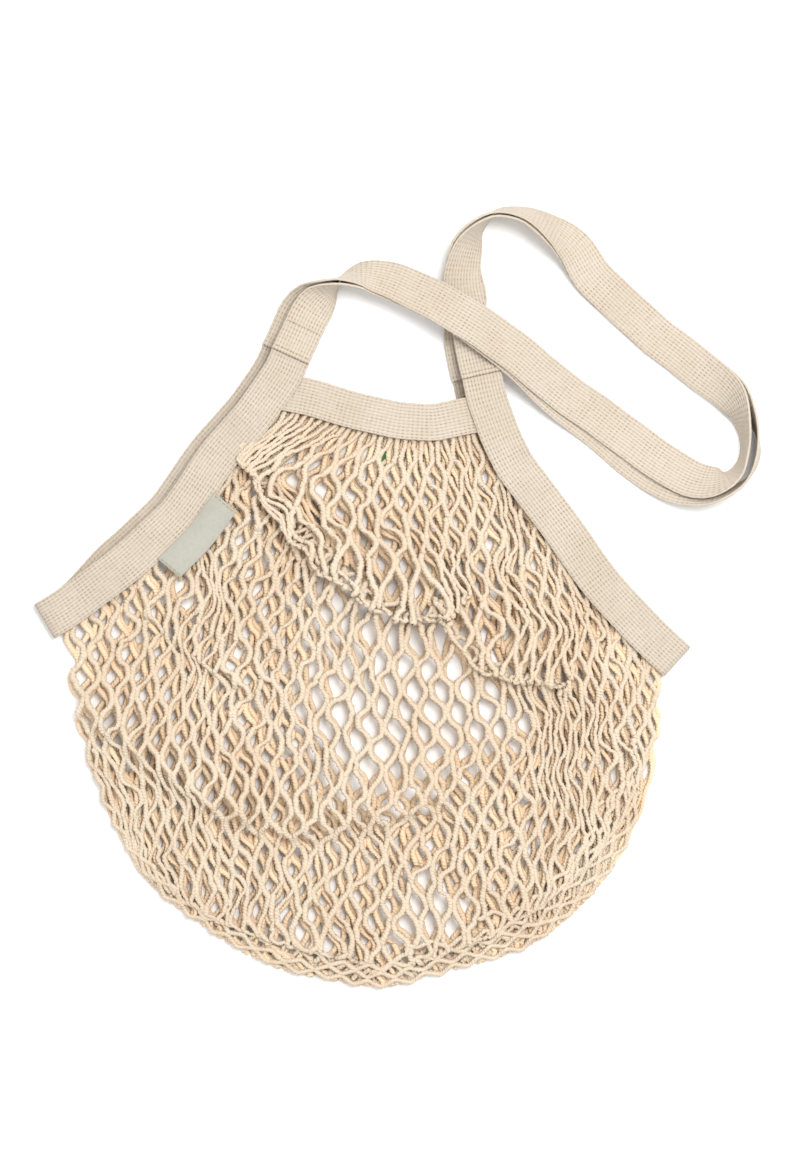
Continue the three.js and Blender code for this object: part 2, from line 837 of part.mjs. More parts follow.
// The care label inside, on the back of the net just under the back band.
addLabel(
  'care_label',
  topTrack,
  careStart,
  careLength,
  topBandWidth / 2,
  careWidth,
  1,
  (distance) => {
    const share = (distance - tapeWidth * 0.40) / (topTrack.length - tapeWidth * 0.80);
    const u = (1 + Math.min(1, Math.max(0, share))) / 3;
    const top = netHeights(u, 0).low + netWall + labelGap + labelThick / 2;
    const reach = (offset) => bandLift * (offset - topEdge) / bandRamp;
    return [top - reach(topBandWidth / 2), top - reach(topBandWidth / 2 + careWidth)];
  },
  clothMaterial(careCloth, 0.7),
);

export default bag;
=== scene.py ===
import bpy
import numpy as np
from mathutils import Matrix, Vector


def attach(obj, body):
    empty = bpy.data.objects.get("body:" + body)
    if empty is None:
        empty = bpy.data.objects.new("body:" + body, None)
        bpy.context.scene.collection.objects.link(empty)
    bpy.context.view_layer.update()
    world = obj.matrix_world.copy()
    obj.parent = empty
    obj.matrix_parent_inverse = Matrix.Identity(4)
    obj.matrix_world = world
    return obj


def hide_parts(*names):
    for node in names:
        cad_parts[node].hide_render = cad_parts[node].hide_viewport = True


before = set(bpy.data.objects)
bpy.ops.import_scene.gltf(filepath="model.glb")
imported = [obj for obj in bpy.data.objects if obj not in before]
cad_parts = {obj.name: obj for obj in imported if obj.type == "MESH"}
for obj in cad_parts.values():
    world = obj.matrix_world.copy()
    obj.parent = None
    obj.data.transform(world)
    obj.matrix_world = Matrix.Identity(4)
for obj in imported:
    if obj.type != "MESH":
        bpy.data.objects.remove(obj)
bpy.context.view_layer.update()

# Everything is worked out in millimetres and turned into metres where a mesh is made.
mm = 0.001
floorClear = 0.02  # nothing lies lower

# The bag as it lies flat, as in the part's source.
bag = dict(
    width=400,
    height=400,
    tapeWidth=25.6,
    tapeThick=1.6,
    topBandWidth=23.5,
    seamGap=0.3,
    handleGap=0.5,
    netWall=2.0,
    netTuck=8,
    mouthHollow=5.4,
    cornerHollow=1.4,
    bellyHollow=7.5,
    foldRise=5,
    hollowTaper=60,
    bandLift=2.6,
    bandRamp=50,
    meshesHigh=7,
    leftPeek=7.5,
    rightPeek=-6,
    cornerClear=13,
    cornerPull=3.4,
    lapHeight=11,
    lapLength=24,
    lapGap=0.7,
)
tapeWidth = bag["tapeWidth"]
tapeThick = bag["tapeThick"]
topWidth = bag["topBandWidth"]

# Middle lines and outline, in shares of the bag's width and height.
leftBand = [
    [-0.570, -0.040], [-0.525, -0.013], [-0.467, 0.029], [-0.426, 0.062],
    [-0.394, 0.093], [-0.360, 0.128], [-0.328, 0.171], [-0.294, 0.219],
    [-0.262, 0.256], [-0.229, 0.294], [-0.190, 0.352], [-0.176, 0.381],
    [-0.150, 0.438],
]
rightBand = [
    [0.445, -0.104], [0.382, -0.046], [0.325, 0.016], [0.264, 0.101],
    [0.214, 0.170], [0.184, 0.210], [0.162, 0.251], [0.147, 0.290],
    [0.138, 0.317], [0.130, 0.354], [0.123, 0.384], [0.117, 0.412],
]
topBand = [
    [-0.184, 0.326], [-0.144, 0.317], [-0.080, 0.299], [-0.035, 0.288],
    [0.000, 0.280], [0.048, 0.277], [0.077, 0.282], [0.107, 0.288],
    [0.125, 0.291],
]
netOutline = [
    [-0.553, -0.166], [-0.528, -0.230], [-0.486, -0.310], [-0.438, -0.403],
    [-0.392, -0.470], [-0.312, -0.531], [-0.256, -0.568], [-0.189, -0.598],
    [-0.112, -0.616], [-0.024, -0.626], [0.064, -0.605], [0.152, -0.581],
    [0.232, -0.546], [0.315, -0.469], [0.374, -0.379], [0.420, -0.290],
    [0.440, -0.230],
]
# Rises of the net: x1, y1, x2, y2, rise, above, below.
netRises = [
    [-0.240, 0.200, -0.184, 0.106, 0.75, 0.120, 0.030],
    [-0.184, 0.106, -0.032, -0.014, 0.95, 0.140, 0.030],
    [-0.032, -0.014, 0.096, -0.086, 1.00, 0.140, 0.030],
    [0.096, -0.086, 0.280, -0.150, 0.80, 0.120, 0.040],
    [-0.540, -0.170, -0.320, -0.326, 0.70, 0.050, 0.045],
    [-0.320, -0.326, -0.060, -0.330, 0.90, 0.060, 0.045],
    [-0.060, -0.330, 0.096, -0.294, 0.70, 0.060, 0.045],
    [0.320, -0.455, 0.192, -0.534, 0.60, 0.045, 0.030],
    [0.192, -0.534, 0.064, -0.582, 0.60, 0.045, 0.030],
]
# Both handles: x, y, rise, rolls of front and back, apart, slips of front and back.
handleRoute = [
    [-0.166, 0.396, 0.02, 0, 0, 0.20, 0, 0.30],
    [-0.156, 0.424, 0.02, 3, 3, 0.20, 0, 0.30],
    [-0.144, 0.450, 0.02, 22, 20, 0.17, 0, 0.22],
    [-0.126, 0.478, 0.02, 50, 46, 0.15, 0, 0.08],
    [-0.105, 0.499, 0.02, 86, 84, 0.16, 0, 0],
    [-0.077, 0.509, 0.05, 115, 115, 0.15, 0, 0],
    [-0.045, 0.511, 0.16, 143, 143, 0.095, 0, 0],
    [0.000, 0.498, 0.42, 163, 163, 0.09, 0, 0],
    [0.064, 0.467, 0.70, 176, 176, 0.09, 0, 0],
    [0.128, 0.427, 0.78, 180, 180, 0.09, 0.02, 0],
    [0.192, 0.382, 0.66, 180, 180, 0.09, 0.08, 0],
    [0.256, 0.333, 0.28, 180, 180, 0.09, 0.18, 0],
    [0.320, 0.288, 0.05, 180, 180, 0.09, 0.26, 0],
    [0.384, 0.240, 0.02, 180, 180, 0.09, 0.32, 0],
    [0.446, 0.198, 0.02, 170, 170, 0.13, 0.28, 0],
    [0.490, 0.178, 0.02, 142, 147, 0.23, 0.12, 0],
    [0.528, 0.180, 0.02, 102, 114, 0.31, 0, 0],
    [0.554, 0.204, 0.02, 84, 98, 0.34, 0, 0],
    [0.563, 0.242, 0.02, 82, 96, 0.34, 0, 0],
    [0.553, 0.284, 0.02, 102, 108, 0.26, 0, 0],
    [0.531, 0.322, 0.02, 136, 138, 0.14, 0, 0],
    [0.495, 0.352, 0.02, 163, 163, 0.09, 0, 0],
    [0.454, 0.385, 0.02, 176, 176, 0.09, 0, 0],
    [0.405, 0.424, 0.02, 180, 180, 0.09, 0, 0],
    [0.358, 0.467, 0.02, 180, 180, 0.09, 0, 0],
    [0.312, 0.510, 0.02, 182, 182, 0.09, 0, 0],
    [0.279, 0.556, 0.02, 200, 200, 0.09, 0, 0],
    [0.243, 0.586, 0.02, 228, 228, 0.10, 0, 0],
    [0.200, 0.609, 0.02, 248, 248, 0.10, 0, 0],
    [0.155, 0.612, 0.02, 262, 262, 0.11, 0, 0],
    [0.124, 0.591, 0.02, 282, 282, 0.11, 0, 0],
    [0.106, 0.560, 0.02, 312, 312, 0.10, 0, 0],
    [0.100, 0.512, 0.02, 338, 338, 0.10, 0, 0.05],
    [0.106, 0.462, 0.08, 355, 355, 0.14, 0, 0.14],
    [0.116, 0.415, 0.06, 360, 360, 0.20, 0, 0.20],
    [0.125, 0.376, 0.06, 360, 360, 0.20, 0, 0.20],
]


def mix(a, b, share):
    return a + (b - a) * share


def smooth(low, high, value):
    share = np.clip((value - low) / (high - low), 0, 1)
    return share * share * (3 - 2 * share)


def unit(v):
    return v / np.maximum(np.linalg.norm(v, axis=-1, keepdims=True), 1e-12)


def rowAt(rows, place):
    last = len(rows) - 1
    k = int(min(last - 1, max(0, np.floor(place))))
    f = min(1, max(0, place - k))
    p0, p1, p2, p3 = rows[max(0, k - 1)], rows[k], rows[k + 1], rows[min(last, k + 2)]
    into = (p2 - p0) / 2 if k > 0 else p2 - p1
    out = (p3 - p1) / 2 if k < last - 1 else p2 - p1
    return (
        (2 * f**3 - 3 * f**2 + 1) * p1
        + (f**3 - 2 * f**2 + f) * into
        + (3 * f**2 - 2 * f**3) * p2
        + (f**3 - f**2) * out
    )


class Track:
    # A smooth line through the rows of a table, read by distance along it.
    def __init__(self, rows, perRow=16, scaled=True):
        rows = np.array(rows, float)
        if scaled:
            rows[:, 0] *= bag["width"]
            rows[:, 1] *= bag["height"]
        places = np.arange((len(rows) - 1) * perRow + 1) / perRow
        self.fine = np.array([rowAt(rows, p) for p in places])
        runs = np.linalg.norm(np.diff(self.fine[:, :2], axis=0), axis=1)
        self.along = np.concatenate([[0], np.cumsum(runs)])
        self.length = self.along[-1]

    def at(self, distance):
        d = np.clip(distance, 0, self.length)
        columns = range(self.fine.shape[1])
        return np.stack([np.interp(d, self.along, self.fine[:, c]) for c in columns], -1)

    def heading(self, distance):
        d = np.clip(distance, 0, self.length)
        return unit((self.at(d + 2) - self.at(d - 2))[..., :2])


leftTrack = Track(leftBand)
rightTrack = Track(rightBand)
topTrack = Track(topBand)
outlineTrack = Track(netOutline)
handleTrack = Track(handleRoute)


def beside(line, distance, offset, side):
    xy = line.at(distance)[..., :2]
    h = line.heading(distance)
    return xy + np.stack([h[..., 1], -h[..., 0]], -1) * offset * side


def crossing(line, end):
    d = np.arange(0, line.length, 1.0)
    gaps = np.linalg.norm(line.at(d)[:, :2] - topTrack.at(end)[:2], axis=1)
    return d[np.argmin(gaps)]


leftJoin = crossing(leftTrack, 0)
rightJoin = crossing(rightTrack, topTrack.length)


def mouthPoint(u, tuck=None):
    tuck = bag["netTuck"] if tuck is None else tuck
    u = np.asarray(u, float)
    third = 1 / 3
    clear = bag["cornerClear"]
    left = beside(
        leftTrack,
        mix(clear, leftJoin - topWidth * 0.62, np.clip(u / third, 0, 1)),
        tapeWidth / 2 - tuck,
        1,
    )
    right = beside(
        rightTrack,
        mix(clear, rightJoin - topWidth * 0.55, np.clip((1 - u) / third, 0, 1)),
        tapeWidth / 2 - tuck,
        -1,
    )
    run = topTrack.length - tapeWidth * 0.80
    middle = beside(
        topTrack,
        tapeWidth * 0.40 + run * np.clip(u / third - 1, 0, 1),
        topWidth / 2 - tuck,
        1,
    )
    low, high = (u < third)[..., None], (u > 2 * third)[..., None]
    return np.where(low, left, np.where(high, right, middle))


def outlinePoint(u):
    return outlineTrack.at(np.asarray(u, float) * outlineTrack.length)[..., :2]


def fanPoint(u, v):
    mouth, rim = mouthPoint(u), outlinePoint(u)
    side = np.where(u < 0.5, 1, -1)
    pull = bag["cornerPull"] * (1 - smooth(0, 0.12, np.minimum(u, 1 - u)))
    xy = mix(mouth, rim, v[..., None])
    xy[..., 0] += side * pull * np.sin(np.pi * np.sqrt(v))
    return xy


def riseAt(xy):
    most = np.zeros(xy.shape[:-1])
    for x1, y1, x2, y2, rise, above, below in netRises:
        a = np.array([x1 * bag["width"], y1 * bag["height"]])
        d = np.array([x2 * bag["width"], y2 * bag["height"]]) - a
        along = np.clip(((xy - a) @ d) / (d @ d), 0, 1)
        foot = a + along[..., None] * d
        gap = np.linalg.norm(xy - foot, axis=-1)
        reach = np.where(xy[..., 1] > foot[..., 1], above, below) * bag["height"]
        most = np.maximum(most, rise * bag["foldRise"] * np.exp(-((gap / reach) ** 2)))
    return most


def fanHeights(u, v):
    # Lowest and highest point of the net's two walls at a place of the fan.
    u, v = np.broadcast_arrays(np.asarray(u, float), np.asarray(v, float))
    xy, mouth, rim = fanPoint(u, v), mouthPoint(u), outlinePoint(u)
    fromMouth = np.linalg.norm(xy - mouth, axis=-1)
    corners = [mouthPoint(0.0), mouthPoint(1.0)]
    side = np.min([np.linalg.norm(xy - c, axis=-1) for c in corners], axis=0)
    toRim = np.minimum(np.linalg.norm(xy - rim, axis=-1), side + bag["cornerHollow"])
    share = np.minimum(1, toRim / bag["hollowTaper"])
    inward = smooth(0, 0.16, np.minimum(u, 1 - u))
    corner = mix(bag["cornerHollow"], bag["mouthHollow"], inward)
    belly = mix(bag["cornerHollow"], bag["bellyHollow"], np.sqrt(share * (2 - share)))
    ramp = bag["bandRamp"]
    hollow = mix(corner, np.maximum(corner * share, belly), smooth(0, ramp * 2, fromMouth))
    lift = bag["bandLift"] * np.maximum(0, 1 - fromMouth / ramp)
    fold = riseAt(xy) * smooth(ramp * 0.2, ramp * 1.6, fromMouth) * share
    return lift, lift + bag["netWall"] * 2 + hollow + fold


def topShare(d):
    # How far along the net's top edge a place of the top band lies, from 0 to 1.
    return (d - tapeWidth * 0.40) / (topTrack.length - tapeWidth * 0.80)


def bandHeight(u):
    top = fanHeights(u, 0.0 * u)[1]
    edge = top.copy()
    run = np.linalg.norm(outlinePoint(u) - mouthPoint(u), axis=-1)
    for j in (1, 2):
        v = j / bag["meshesHigh"]
        far = fanHeights(u, v + 0.0 * u)[1]
        share = np.minimum(1, bag["netTuck"] * 1.5 / (run * v))
        top = np.maximum(top, mix(edge, far, share))
    return top + bag["seamGap"] * 1.5 + tapeThick / 2


class SideBand:
    def __init__(self, line, join, side, peek, peekFrom, peekTo):
        self.line, self.join, self.side = line, join, side
        self.peek, self.peekFrom, self.peekTo = peek, peekFrom, peekTo
        self.low = tapeThick / 2

    def uAt(self, d):
        clear = bag["cornerClear"]
        share = np.clip((d - clear) / (self.join - clear), 0, 1) / 3
        return share if self.side > 0 else 1 - share

    def high(self, d):
        d = np.asarray(d, float)
        top = np.zeros(d.shape)
        for shift in (-1, -0.5, 0, 0.5, 1):
            near = np.clip(d + shift * tapeWidth, 0, self.join)
            top = np.maximum(top, bandHeight(self.uAt(near)))
        over = smooth(self.join - tapeWidth * 1.9, self.join - tapeWidth * 1.1, d)
        rest = top + over * (tapeThick + bag["seamGap"])
        fall = smooth(self.join + tapeWidth * 0.8, self.join + tapeWidth * 1.4, d)
        return mix(rest, bag["lapHeight"], fall)

    def stagger(self, d):
        return self.peek * smooth(self.peekFrom, self.peekTo, d)

    def place(self, d, aside, height):
        d = np.asarray(d, float)
        over = np.maximum(0, d - self.line.length)[..., None]
        xy, h = self.line.at(d)[..., :2], self.line.heading(d)
        across = np.stack([-h[..., 1], h[..., 0]], -1) * self.side
        xy = xy + h * over + across * np.asarray(aside)[..., None]
        return np.concatenate([xy, np.broadcast_to(height, d.shape)[..., None]], -1)


leftSide = SideBand(leftTrack, leftJoin, 1, bag["leftPeek"], tapeWidth * 0.5, tapeWidth * 2.5)
rightSide = SideBand(
    rightTrack,
    rightJoin,
    -1,
    bag["rightPeek"],
    rightJoin - tapeWidth,
    rightJoin + tapeWidth * 0.5,
)


def sideStations(band):
    # Back leg on the floor, fold at the corner, front leg: points and directions.
    line, reach = band.line, (band.high(0.0) - band.low) / 2
    down = np.linspace(line.length, reach, 60)[:-1]
    up = np.linspace(reach, line.length, 60)[1:]
    h0 = line.heading(0.0)
    corner = line.at(0.0)[:2]
    turn = np.linspace(0, np.pi, 13)
    back = band.place(down, band.stagger(down), band.low)
    front = band.place(up, 0 * up, band.high(up))
    foldXy = corner + h0 * (reach - np.sin(turn) * reach)[:, None]
    fold = np.concatenate([foldXy, (band.low + (1 - np.cos(turn)) * reach)[:, None]], 1)

    def acrossAt(d):
        h = line.heading(d)
        return np.stack([h[:, 1], -h[:, 0], 0 * d], 1)

    foldOut = np.stack(
        [-h0[0] * np.sin(turn), -h0[1] * np.sin(turn), -np.cos(turn)], 1
    )
    points = np.concatenate([back, fold, front])
    across = np.concatenate([acrossAt(down), acrossAt(0 * turn), acrossAt(up)])
    up3 = np.array([0, 0, 1.0])
    out = np.concatenate([np.tile(-up3, (len(down), 1)), foldOut, np.tile(up3, (len(up), 1))])
    return points, across, out


def topStations(start, end, height):
    d = np.linspace(start, end, 40)
    xy, h = topTrack.at(d)[:, :2], topTrack.heading(d)
    points = np.concatenate([xy, height(d)[:, None]], 1)
    across = np.stack([-h[:, 1], h[:, 0], 0 * d], 1)
    return points, across, np.tile([0, 0, 1.0], (len(d), 1))


def topHeight(d):
    share = topShare(d)
    top = np.zeros(np.shape(d))
    for shift in (-0.12, -0.06, 0, 0.06, 0.12):
        top = np.maximum(top, bandHeight((1 + np.clip(share + shift, 0, 1)) / 3))
    return top


def handleStations(front):
    d = np.linspace(0, handleTrack.length, 150)
    x, y, rise, rollFront, rollBack, apart, slipFront, slipBack = handleTrack.at(d).T
    h = handleTrack.heading(d)

    def frameOf(degrees):
        turn = np.radians(degrees)
        across = np.stack([-h[:, 1] * np.cos(turn), h[:, 0] * np.cos(turn), np.sin(turn)], 1)
        out = np.stack([h[:, 1] * np.sin(turn), -h[:, 0] * np.sin(turn), np.cos(turn)], 1)
        return across, out

    stackAcross, stackOut = frameOf((rollFront + rollBack) / 2)
    spread = np.maximum(tapeThick + bag["handleGap"], apart * tapeWidth) / 2
    slips = [slipFront * tapeWidth, slipBack * tapeWidth]
    floors = []
    for n, degrees in enumerate((rollFront, rollBack)):
        across, out = frameOf(degrees)
        tall = np.abs(across[:, 2]) * tapeWidth / 2 + np.abs(out[:, 2]) * tapeThick / 2
        side = 1 if n == 0 else -1
        floors.append(tall - stackOut[:, 2] * spread * side - stackAcross[:, 2] * slips[n])
    middle = np.stack([x, y, rise * tapeWidth + np.max(floors, axis=0)], 1)
    across = frameOf(rollFront if front else rollBack)[0]
    sign, slip = (1, slips[0]) if front else (-1, slips[1])
    points = middle + stackOut * (spread * sign)[:, None] + stackAcross * slip[:, None]
    fromEnd = np.minimum(d, handleTrack.length - d)
    weight = (1 - smooth(bag["lapLength"], bag["lapLength"] * 2, fromEnd))[:, None]
    for band, mine, turned in (
        (leftSide, d < handleTrack.length / 2, 1),
        (rightSide, d >= handleTrack.length / 2, -1),
    ):
        along = band.line.length - bag["lapLength"] + fromEnd
        aside = 0 * along if front else band.stagger(along)
        base = band.high(along) if front else band.low + 0 * along
        lap = band.place(along, aside, 0 * along)
        lap[:, 2] = base + tapeThick + bag["lapGap"]
        b = band.line.heading(along)
        flat = np.stack([-b[:, 1], b[:, 0], 0 * along], 1) * turned
        w = weight * mine[:, None]
        points = mix(points, lap, w)
        across = unit(mix(across, flat, w))
    ahead = unit(np.gradient(points, axis=0))
    out = unit(np.cross(ahead, across))
    return points, unit(np.cross(out, ahead)), out


def labelStations(line, start, length, near, width, heights):
    d = np.linspace(start, start + length, 30)
    h = line.heading(np.full(len(d), start + length / 2))
    low, high = heights(d)
    side = np.stack([h[:, 1], -h[:, 0]], 1)
    xy = line.at(d)[:, :2]
    a = np.concatenate([xy + side * near, low[:, None]], 1)
    b = np.concatenate([xy + side * (near + width), high[:, None]], 1)
    across = unit(b - a)
    ahead = np.concatenate([h, 0 * low[:, None]], 1)
    return (a + b) / 2, across, unit(np.cross(ahead, across))


def cornerUv(u0, u1, v0, v1):
    corners = [np.stack(pair, -1) for pair in ((u0, v0), (u0, v1), (u1, v1), (u1, v0))]
    return np.stack(corners, 2).reshape(-1, 4, 2)


def ringQuads(rings, around, start=0):
    # The quads between rings of points, and each point's own and next place in a ring.
    k = np.arange(around)
    nxt = (k + 1) % around
    base = start + np.arange(rings - 1)[:, None] * around
    quads = np.stack([base + k, base + nxt, base + around + nxt, base + around + k], -1)
    return quads.reshape(-1, 4), k, nxt


def lengths(line):
    run = np.linalg.norm(np.diff(line, axis=1), axis=2)
    return np.concatenate([np.zeros((len(line), 1)), np.cumsum(run, 1)], 1)


def wobble(xy, seed, shortest, longest, size):
    rng = np.random.default_rng(seed)
    total = np.zeros(xy.shape[:-1])
    for _ in range(9):
        wave = 2 * np.pi / rng.uniform(shortest, longest)
        turn = rng.uniform(0, 2 * np.pi)
        total += np.sin(
            xy[..., 0] * wave * np.cos(turn) + xy[..., 1] * wave * np.sin(turn)
            + rng.uniform(0, 2 * np.pi)
        )
    return total * size / 3


def makeMesh(name, points, quads, uv, material, body="root"):
    # Points are in millimetres, and uv holds a pair for each corner of each quad.
    points = np.array(points)
    points[:, 2] = np.maximum(points[:, 2], floorClear)
    me = bpy.data.meshes.new(name)
    me.vertices.add(len(points))
    me.vertices.foreach_set("co", (points * mm).astype(np.float32).ravel())
    me.loops.add(quads.size)
    me.loops.foreach_set("vertex_index", quads.astype(np.int32).ravel())
    me.polygons.add(len(quads))
    me.polygons.foreach_set("loop_start", np.arange(len(quads), dtype=np.int32) * 4)
    me.polygons.foreach_set("loop_total", np.full(len(quads), 4, np.int32))
    me.update(calc_edges=True)
    layer = me.uv_layers.new(name="UVMap")
    layer.data.foreach_set("uv", uv.astype(np.float32).ravel())
    me.polygons.foreach_set("use_smooth", np.ones(len(quads), bool))
    me.materials.append(material)
    obj = bpy.data.objects.new(name, me)
    bpy.context.scene.collection.objects.link(obj)
    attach(obj, body)
    return obj


# Materials.
def newMaterial(name):
    mat = bpy.data.materials.new(name)
    mat.use_nodes = True
    nodes, links = mat.node_tree.nodes, mat.node_tree.links
    shader = nodes["Principled BSDF"]
    return mat, nodes, links, shader


def newGroup(name, inputs, outputs):
    tree = bpy.data.node_groups.new(name, "ShaderNodeTree")
    for label, kind, value in inputs:
        s = tree.interface.new_socket(label, in_out="INPUT", socket_type=kind)
        if value is not None:
            s.default_value = value
    for label, kind in outputs:
        tree.interface.new_socket(label, in_out="OUTPUT", socket_type=kind)
    return tree, tree.nodes.new("NodeGroupInput"), tree.nodes.new("NodeGroupOutput")


def mathNode(tree, kind, a, b=None):
    node = tree.nodes.new("ShaderNodeMath")
    node.operation = kind
    for n, value in enumerate((a, b)):
        if value is None:
            continue
        if isinstance(value, (int, float)):
            node.inputs[n].default_value = value
        else:
            tree.links.new(value, node.inputs[n])
    return node.outputs[0]


def splitNode(tree, vector):
    node = tree.nodes.new("ShaderNodeSeparateXYZ")
    tree.links.new(vector, node.inputs[0])
    return node.outputs


def mapNode(tree, value, low, high, toLow, toHigh):
    node = tree.nodes.new("ShaderNodeMapRange")
    node.interpolation_type = "SMOOTHSTEP"
    tree.links.new(value, node.inputs["Value"])
    for label, v in (("From Min", low), ("From Max", high), ("To Min", toLow), ("To Max", toHigh)):
        node.inputs[label].default_value = v
    return node.outputs["Result"]


def noiseNode(tree, vector, scale, detail=2.0, rough=0.5):
    node = tree.nodes.new("ShaderNodeTexNoise")
    tree.links.new(vector, node.inputs["Vector"])
    node.inputs["Scale"].default_value = scale
    node.inputs["Detail"].default_value = detail
    node.inputs["Roughness"].default_value = rough
    return node.outputs["Fac"]


def mixColour(tree, share, a, b):
    node = tree.nodes.new("ShaderNodeMix")
    node.data_type = "RGBA"
    for socket, value in ((node.inputs[0], share), (node.inputs[6], a), (node.inputs[7], b)):
        if isinstance(value, (int, float)):
            socket.default_value = value
        elif isinstance(value, tuple):
            socket.default_value = (*value, 1)
        else:
            tree.links.new(value, socket)
    return node.outputs[2]


def makeCottonTone():
    # Slow and fine colour changes of undyed cotton, from a place in metres.
    tree, inp, out = newGroup(
        "cottonTone",
        [
            ("Place", "NodeSocketVector", None),
            ("Light", "NodeSocketColor", (0.9, 0.8, 0.6, 1)),
            ("Dark", "NodeSocketColor", (0.7, 0.6, 0.4, 1)),
        ],
        [("Color", "NodeSocketColor"), ("Fuzz", "NodeSocketFloat")],
    )
    place = inp.outputs["Place"]
    slow = mapNode(tree, noiseNode(tree, place, 26, 2), 0.35, 0.65, 0, 0.45)
    fine = mapNode(tree, noiseNode(tree, place, 420, 3, 0.6), 0.3, 0.7, 0, 0.55)
    share = mathNode(tree, "ADD", slow, fine)
    colour = mixColour(tree, share, inp.outputs["Light"], inp.outputs["Dark"])
    tree.links.new(colour, out.inputs["Color"])
    tree.links.new(noiseNode(tree, place, 2200, 4, 0.7), out.inputs["Fuzz"])
    return tree


def makeTapeWeave():
    # Rows of pinholes between ribs, with masks for painted shade in the pinholes and in the grooves
    # between the ribs; u and v are millimetres along and across.
    tree, inp, out = newGroup(
        "tapeWeave",
        [
            ("UV", "NodeSocketVector", None),
            ("Place", "NodeSocketVector", None),
            ("Along", "NodeSocketFloat", 2.9),
            ("Across", "NodeSocketFloat", 2.13),
        ],
        [("HoleShade", "NodeSocketFloat"), ("Thread", "NodeSocketFloat"), ("GrooveShade", "NodeSocketFloat")],
    )
    split = splitNode(tree, inp.outputs["UV"])
    wander = noiseNode(tree, inp.outputs["Place"], 300, 1)
    shift = mathNode(tree, "MULTIPLY", mathNode(tree, "SUBTRACT", wander, 0.5), 0.9)
    thin = mapNode(tree, noiseNode(tree, inp.outputs["Place"], 90, 2), 0.35, 0.65, 0.55, 1)
    shifted = mathNode(tree, "ADD", split[0], shift)
    u = mathNode(tree, "DIVIDE", shifted, inp.outputs["Along"])
    v = mathNode(tree, "DIVIDE", split[1], inp.outputs["Across"])
    squares = []
    for value in (u, v):
        off = mathNode(tree, "SUBTRACT", mathNode(tree, "FRACT", value), 0.5)
        off = mathNode(tree, "MULTIPLY", off, 2.5)
        squares.append(mathNode(tree, "MULTIPLY", off, off))
    gap = mathNode(tree, "SQRT", mathNode(tree, "ADD", *squares))
    # Mask for the painted shade inside the pinholes.
    holeShade = mapNode(tree, gap, 0.28, 0.86, 0.85, 0)
    depth = mapNode(tree, noiseNode(tree, inp.outputs["Place"], 190, 2), 0.32, 0.62, 0.25, 1)
    holeShade = mathNode(tree, "MULTIPLY", holeShade, thin)
    tree.links.new(mathNode(tree, "MULTIPLY", holeShade, depth), out.inputs["HoleShade"])
    wave = mathNode(tree, "SINE", mathNode(tree, "MULTIPLY", u, 6 * np.pi))
    rib = mathNode(tree, "COSINE", mathNode(tree, "MULTIPLY", v, 2 * np.pi))
    # Mask for the painted shade in the grooves between the ribs.
    tree.links.new(mapNode(tree, rib, -1.0, -0.1, 1, 0), out.inputs["GrooveShade"])
    thread = mathNode(tree, "ADD", mathNode(tree, "MULTIPLY", wave, 0.5), rib)
    tree.links.new(thread, out.inputs["Thread"])
    return tree


def makeYarnTwist():
    # Slanting plies of a twisted strand; u is millimetres along, v turns round it.
    tree, inp, out = newGroup(
        "yarnTwist",
        [("UV", "NodeSocketVector", None), ("Pitch", "NodeSocketFloat", 2.2)],
        [("Ply", "NodeSocketFloat")],
    )
    split = splitNode(tree, inp.outputs["UV"])
    turns = mathNode(tree, "DIVIDE", split[0], inp.outputs["Pitch"])
    sweep = mathNode(tree, "ADD", turns, mathNode(tree, "MULTIPLY", split[1], 2.0))
    ply = mathNode(tree, "SINE", mathNode(tree, "MULTIPLY", sweep, 2 * np.pi))
    tree.links.new(ply, out.inputs["Ply"])
    return tree


def makeCrossThreads():
    # Fine threads across a smooth ribbon or thread; u is millimetres along it.
    tree, inp, out = newGroup(
        "crossThreads",
        [("UV", "NodeSocketVector", None), ("Pitch", "NodeSocketFloat", 0.5)],
        [("Wave", "NodeSocketFloat")],
    )
    split = splitNode(tree, inp.outputs["UV"])
    turns = mathNode(tree, "DIVIDE", split[0], inp.outputs["Pitch"])
    wave = mathNode(tree, "SINE", mathNode(tree, "MULTIPLY", turns, 2 * np.pi))
    tree.links.new(wave, out.inputs["Wave"])
    return tree


cottonTone = makeCottonTone()
tapeWeave = makeTapeWeave()
yarnTwist = makeYarnTwist()
crossThreads = makeCrossThreads()


def groupNode(nodes, tree):
    node = nodes.new("ShaderNodeGroup")
    node.node_tree = tree
    return node


# Roughness and sheen, and how strong and how deep in metres the threads' relief is.
finish = dict(
    tape=dict(rough=0.92, sheen=0.15, bump=0.5, depth=0.0004),
    yarn=dict(rough=0.95, sheen=0.15, bump=0.45, depth=0.0005),
    label=dict(rough=0.6, sheen=0.1, bump=0.25, depth=0.0002),
)


def clothMaterial(name, kind, light, dark):
    # A cotton material with its tone, its uv and its constants set.
    mat, nodes, links, shader = newMaterial(name)
    coords = nodes.new("ShaderNodeTexCoord")
    uv = nodes.new("ShaderNodeUVMap")
    uv.uv_map = "UVMap"
    tone = groupNode(nodes, cottonTone)
    links.new(coords.outputs["Object"], tone.inputs["Place"])
    tone.inputs["Light"].default_value = (*light, 1)
    tone.inputs["Dark"].default_value = (*dark, 1)
    shader.inputs["Roughness"].default_value = finish[kind]["rough"]
    shader.inputs["Sheen Weight"].default_value = finish[kind]["sheen"]
    shader.inputs["Sheen Roughness"].default_value = 0.5
    shader.inputs["Specular IOR Level"].default_value = 0.2
    return mat, shader, coords.outputs["Object"], uv.outputs[0], tone


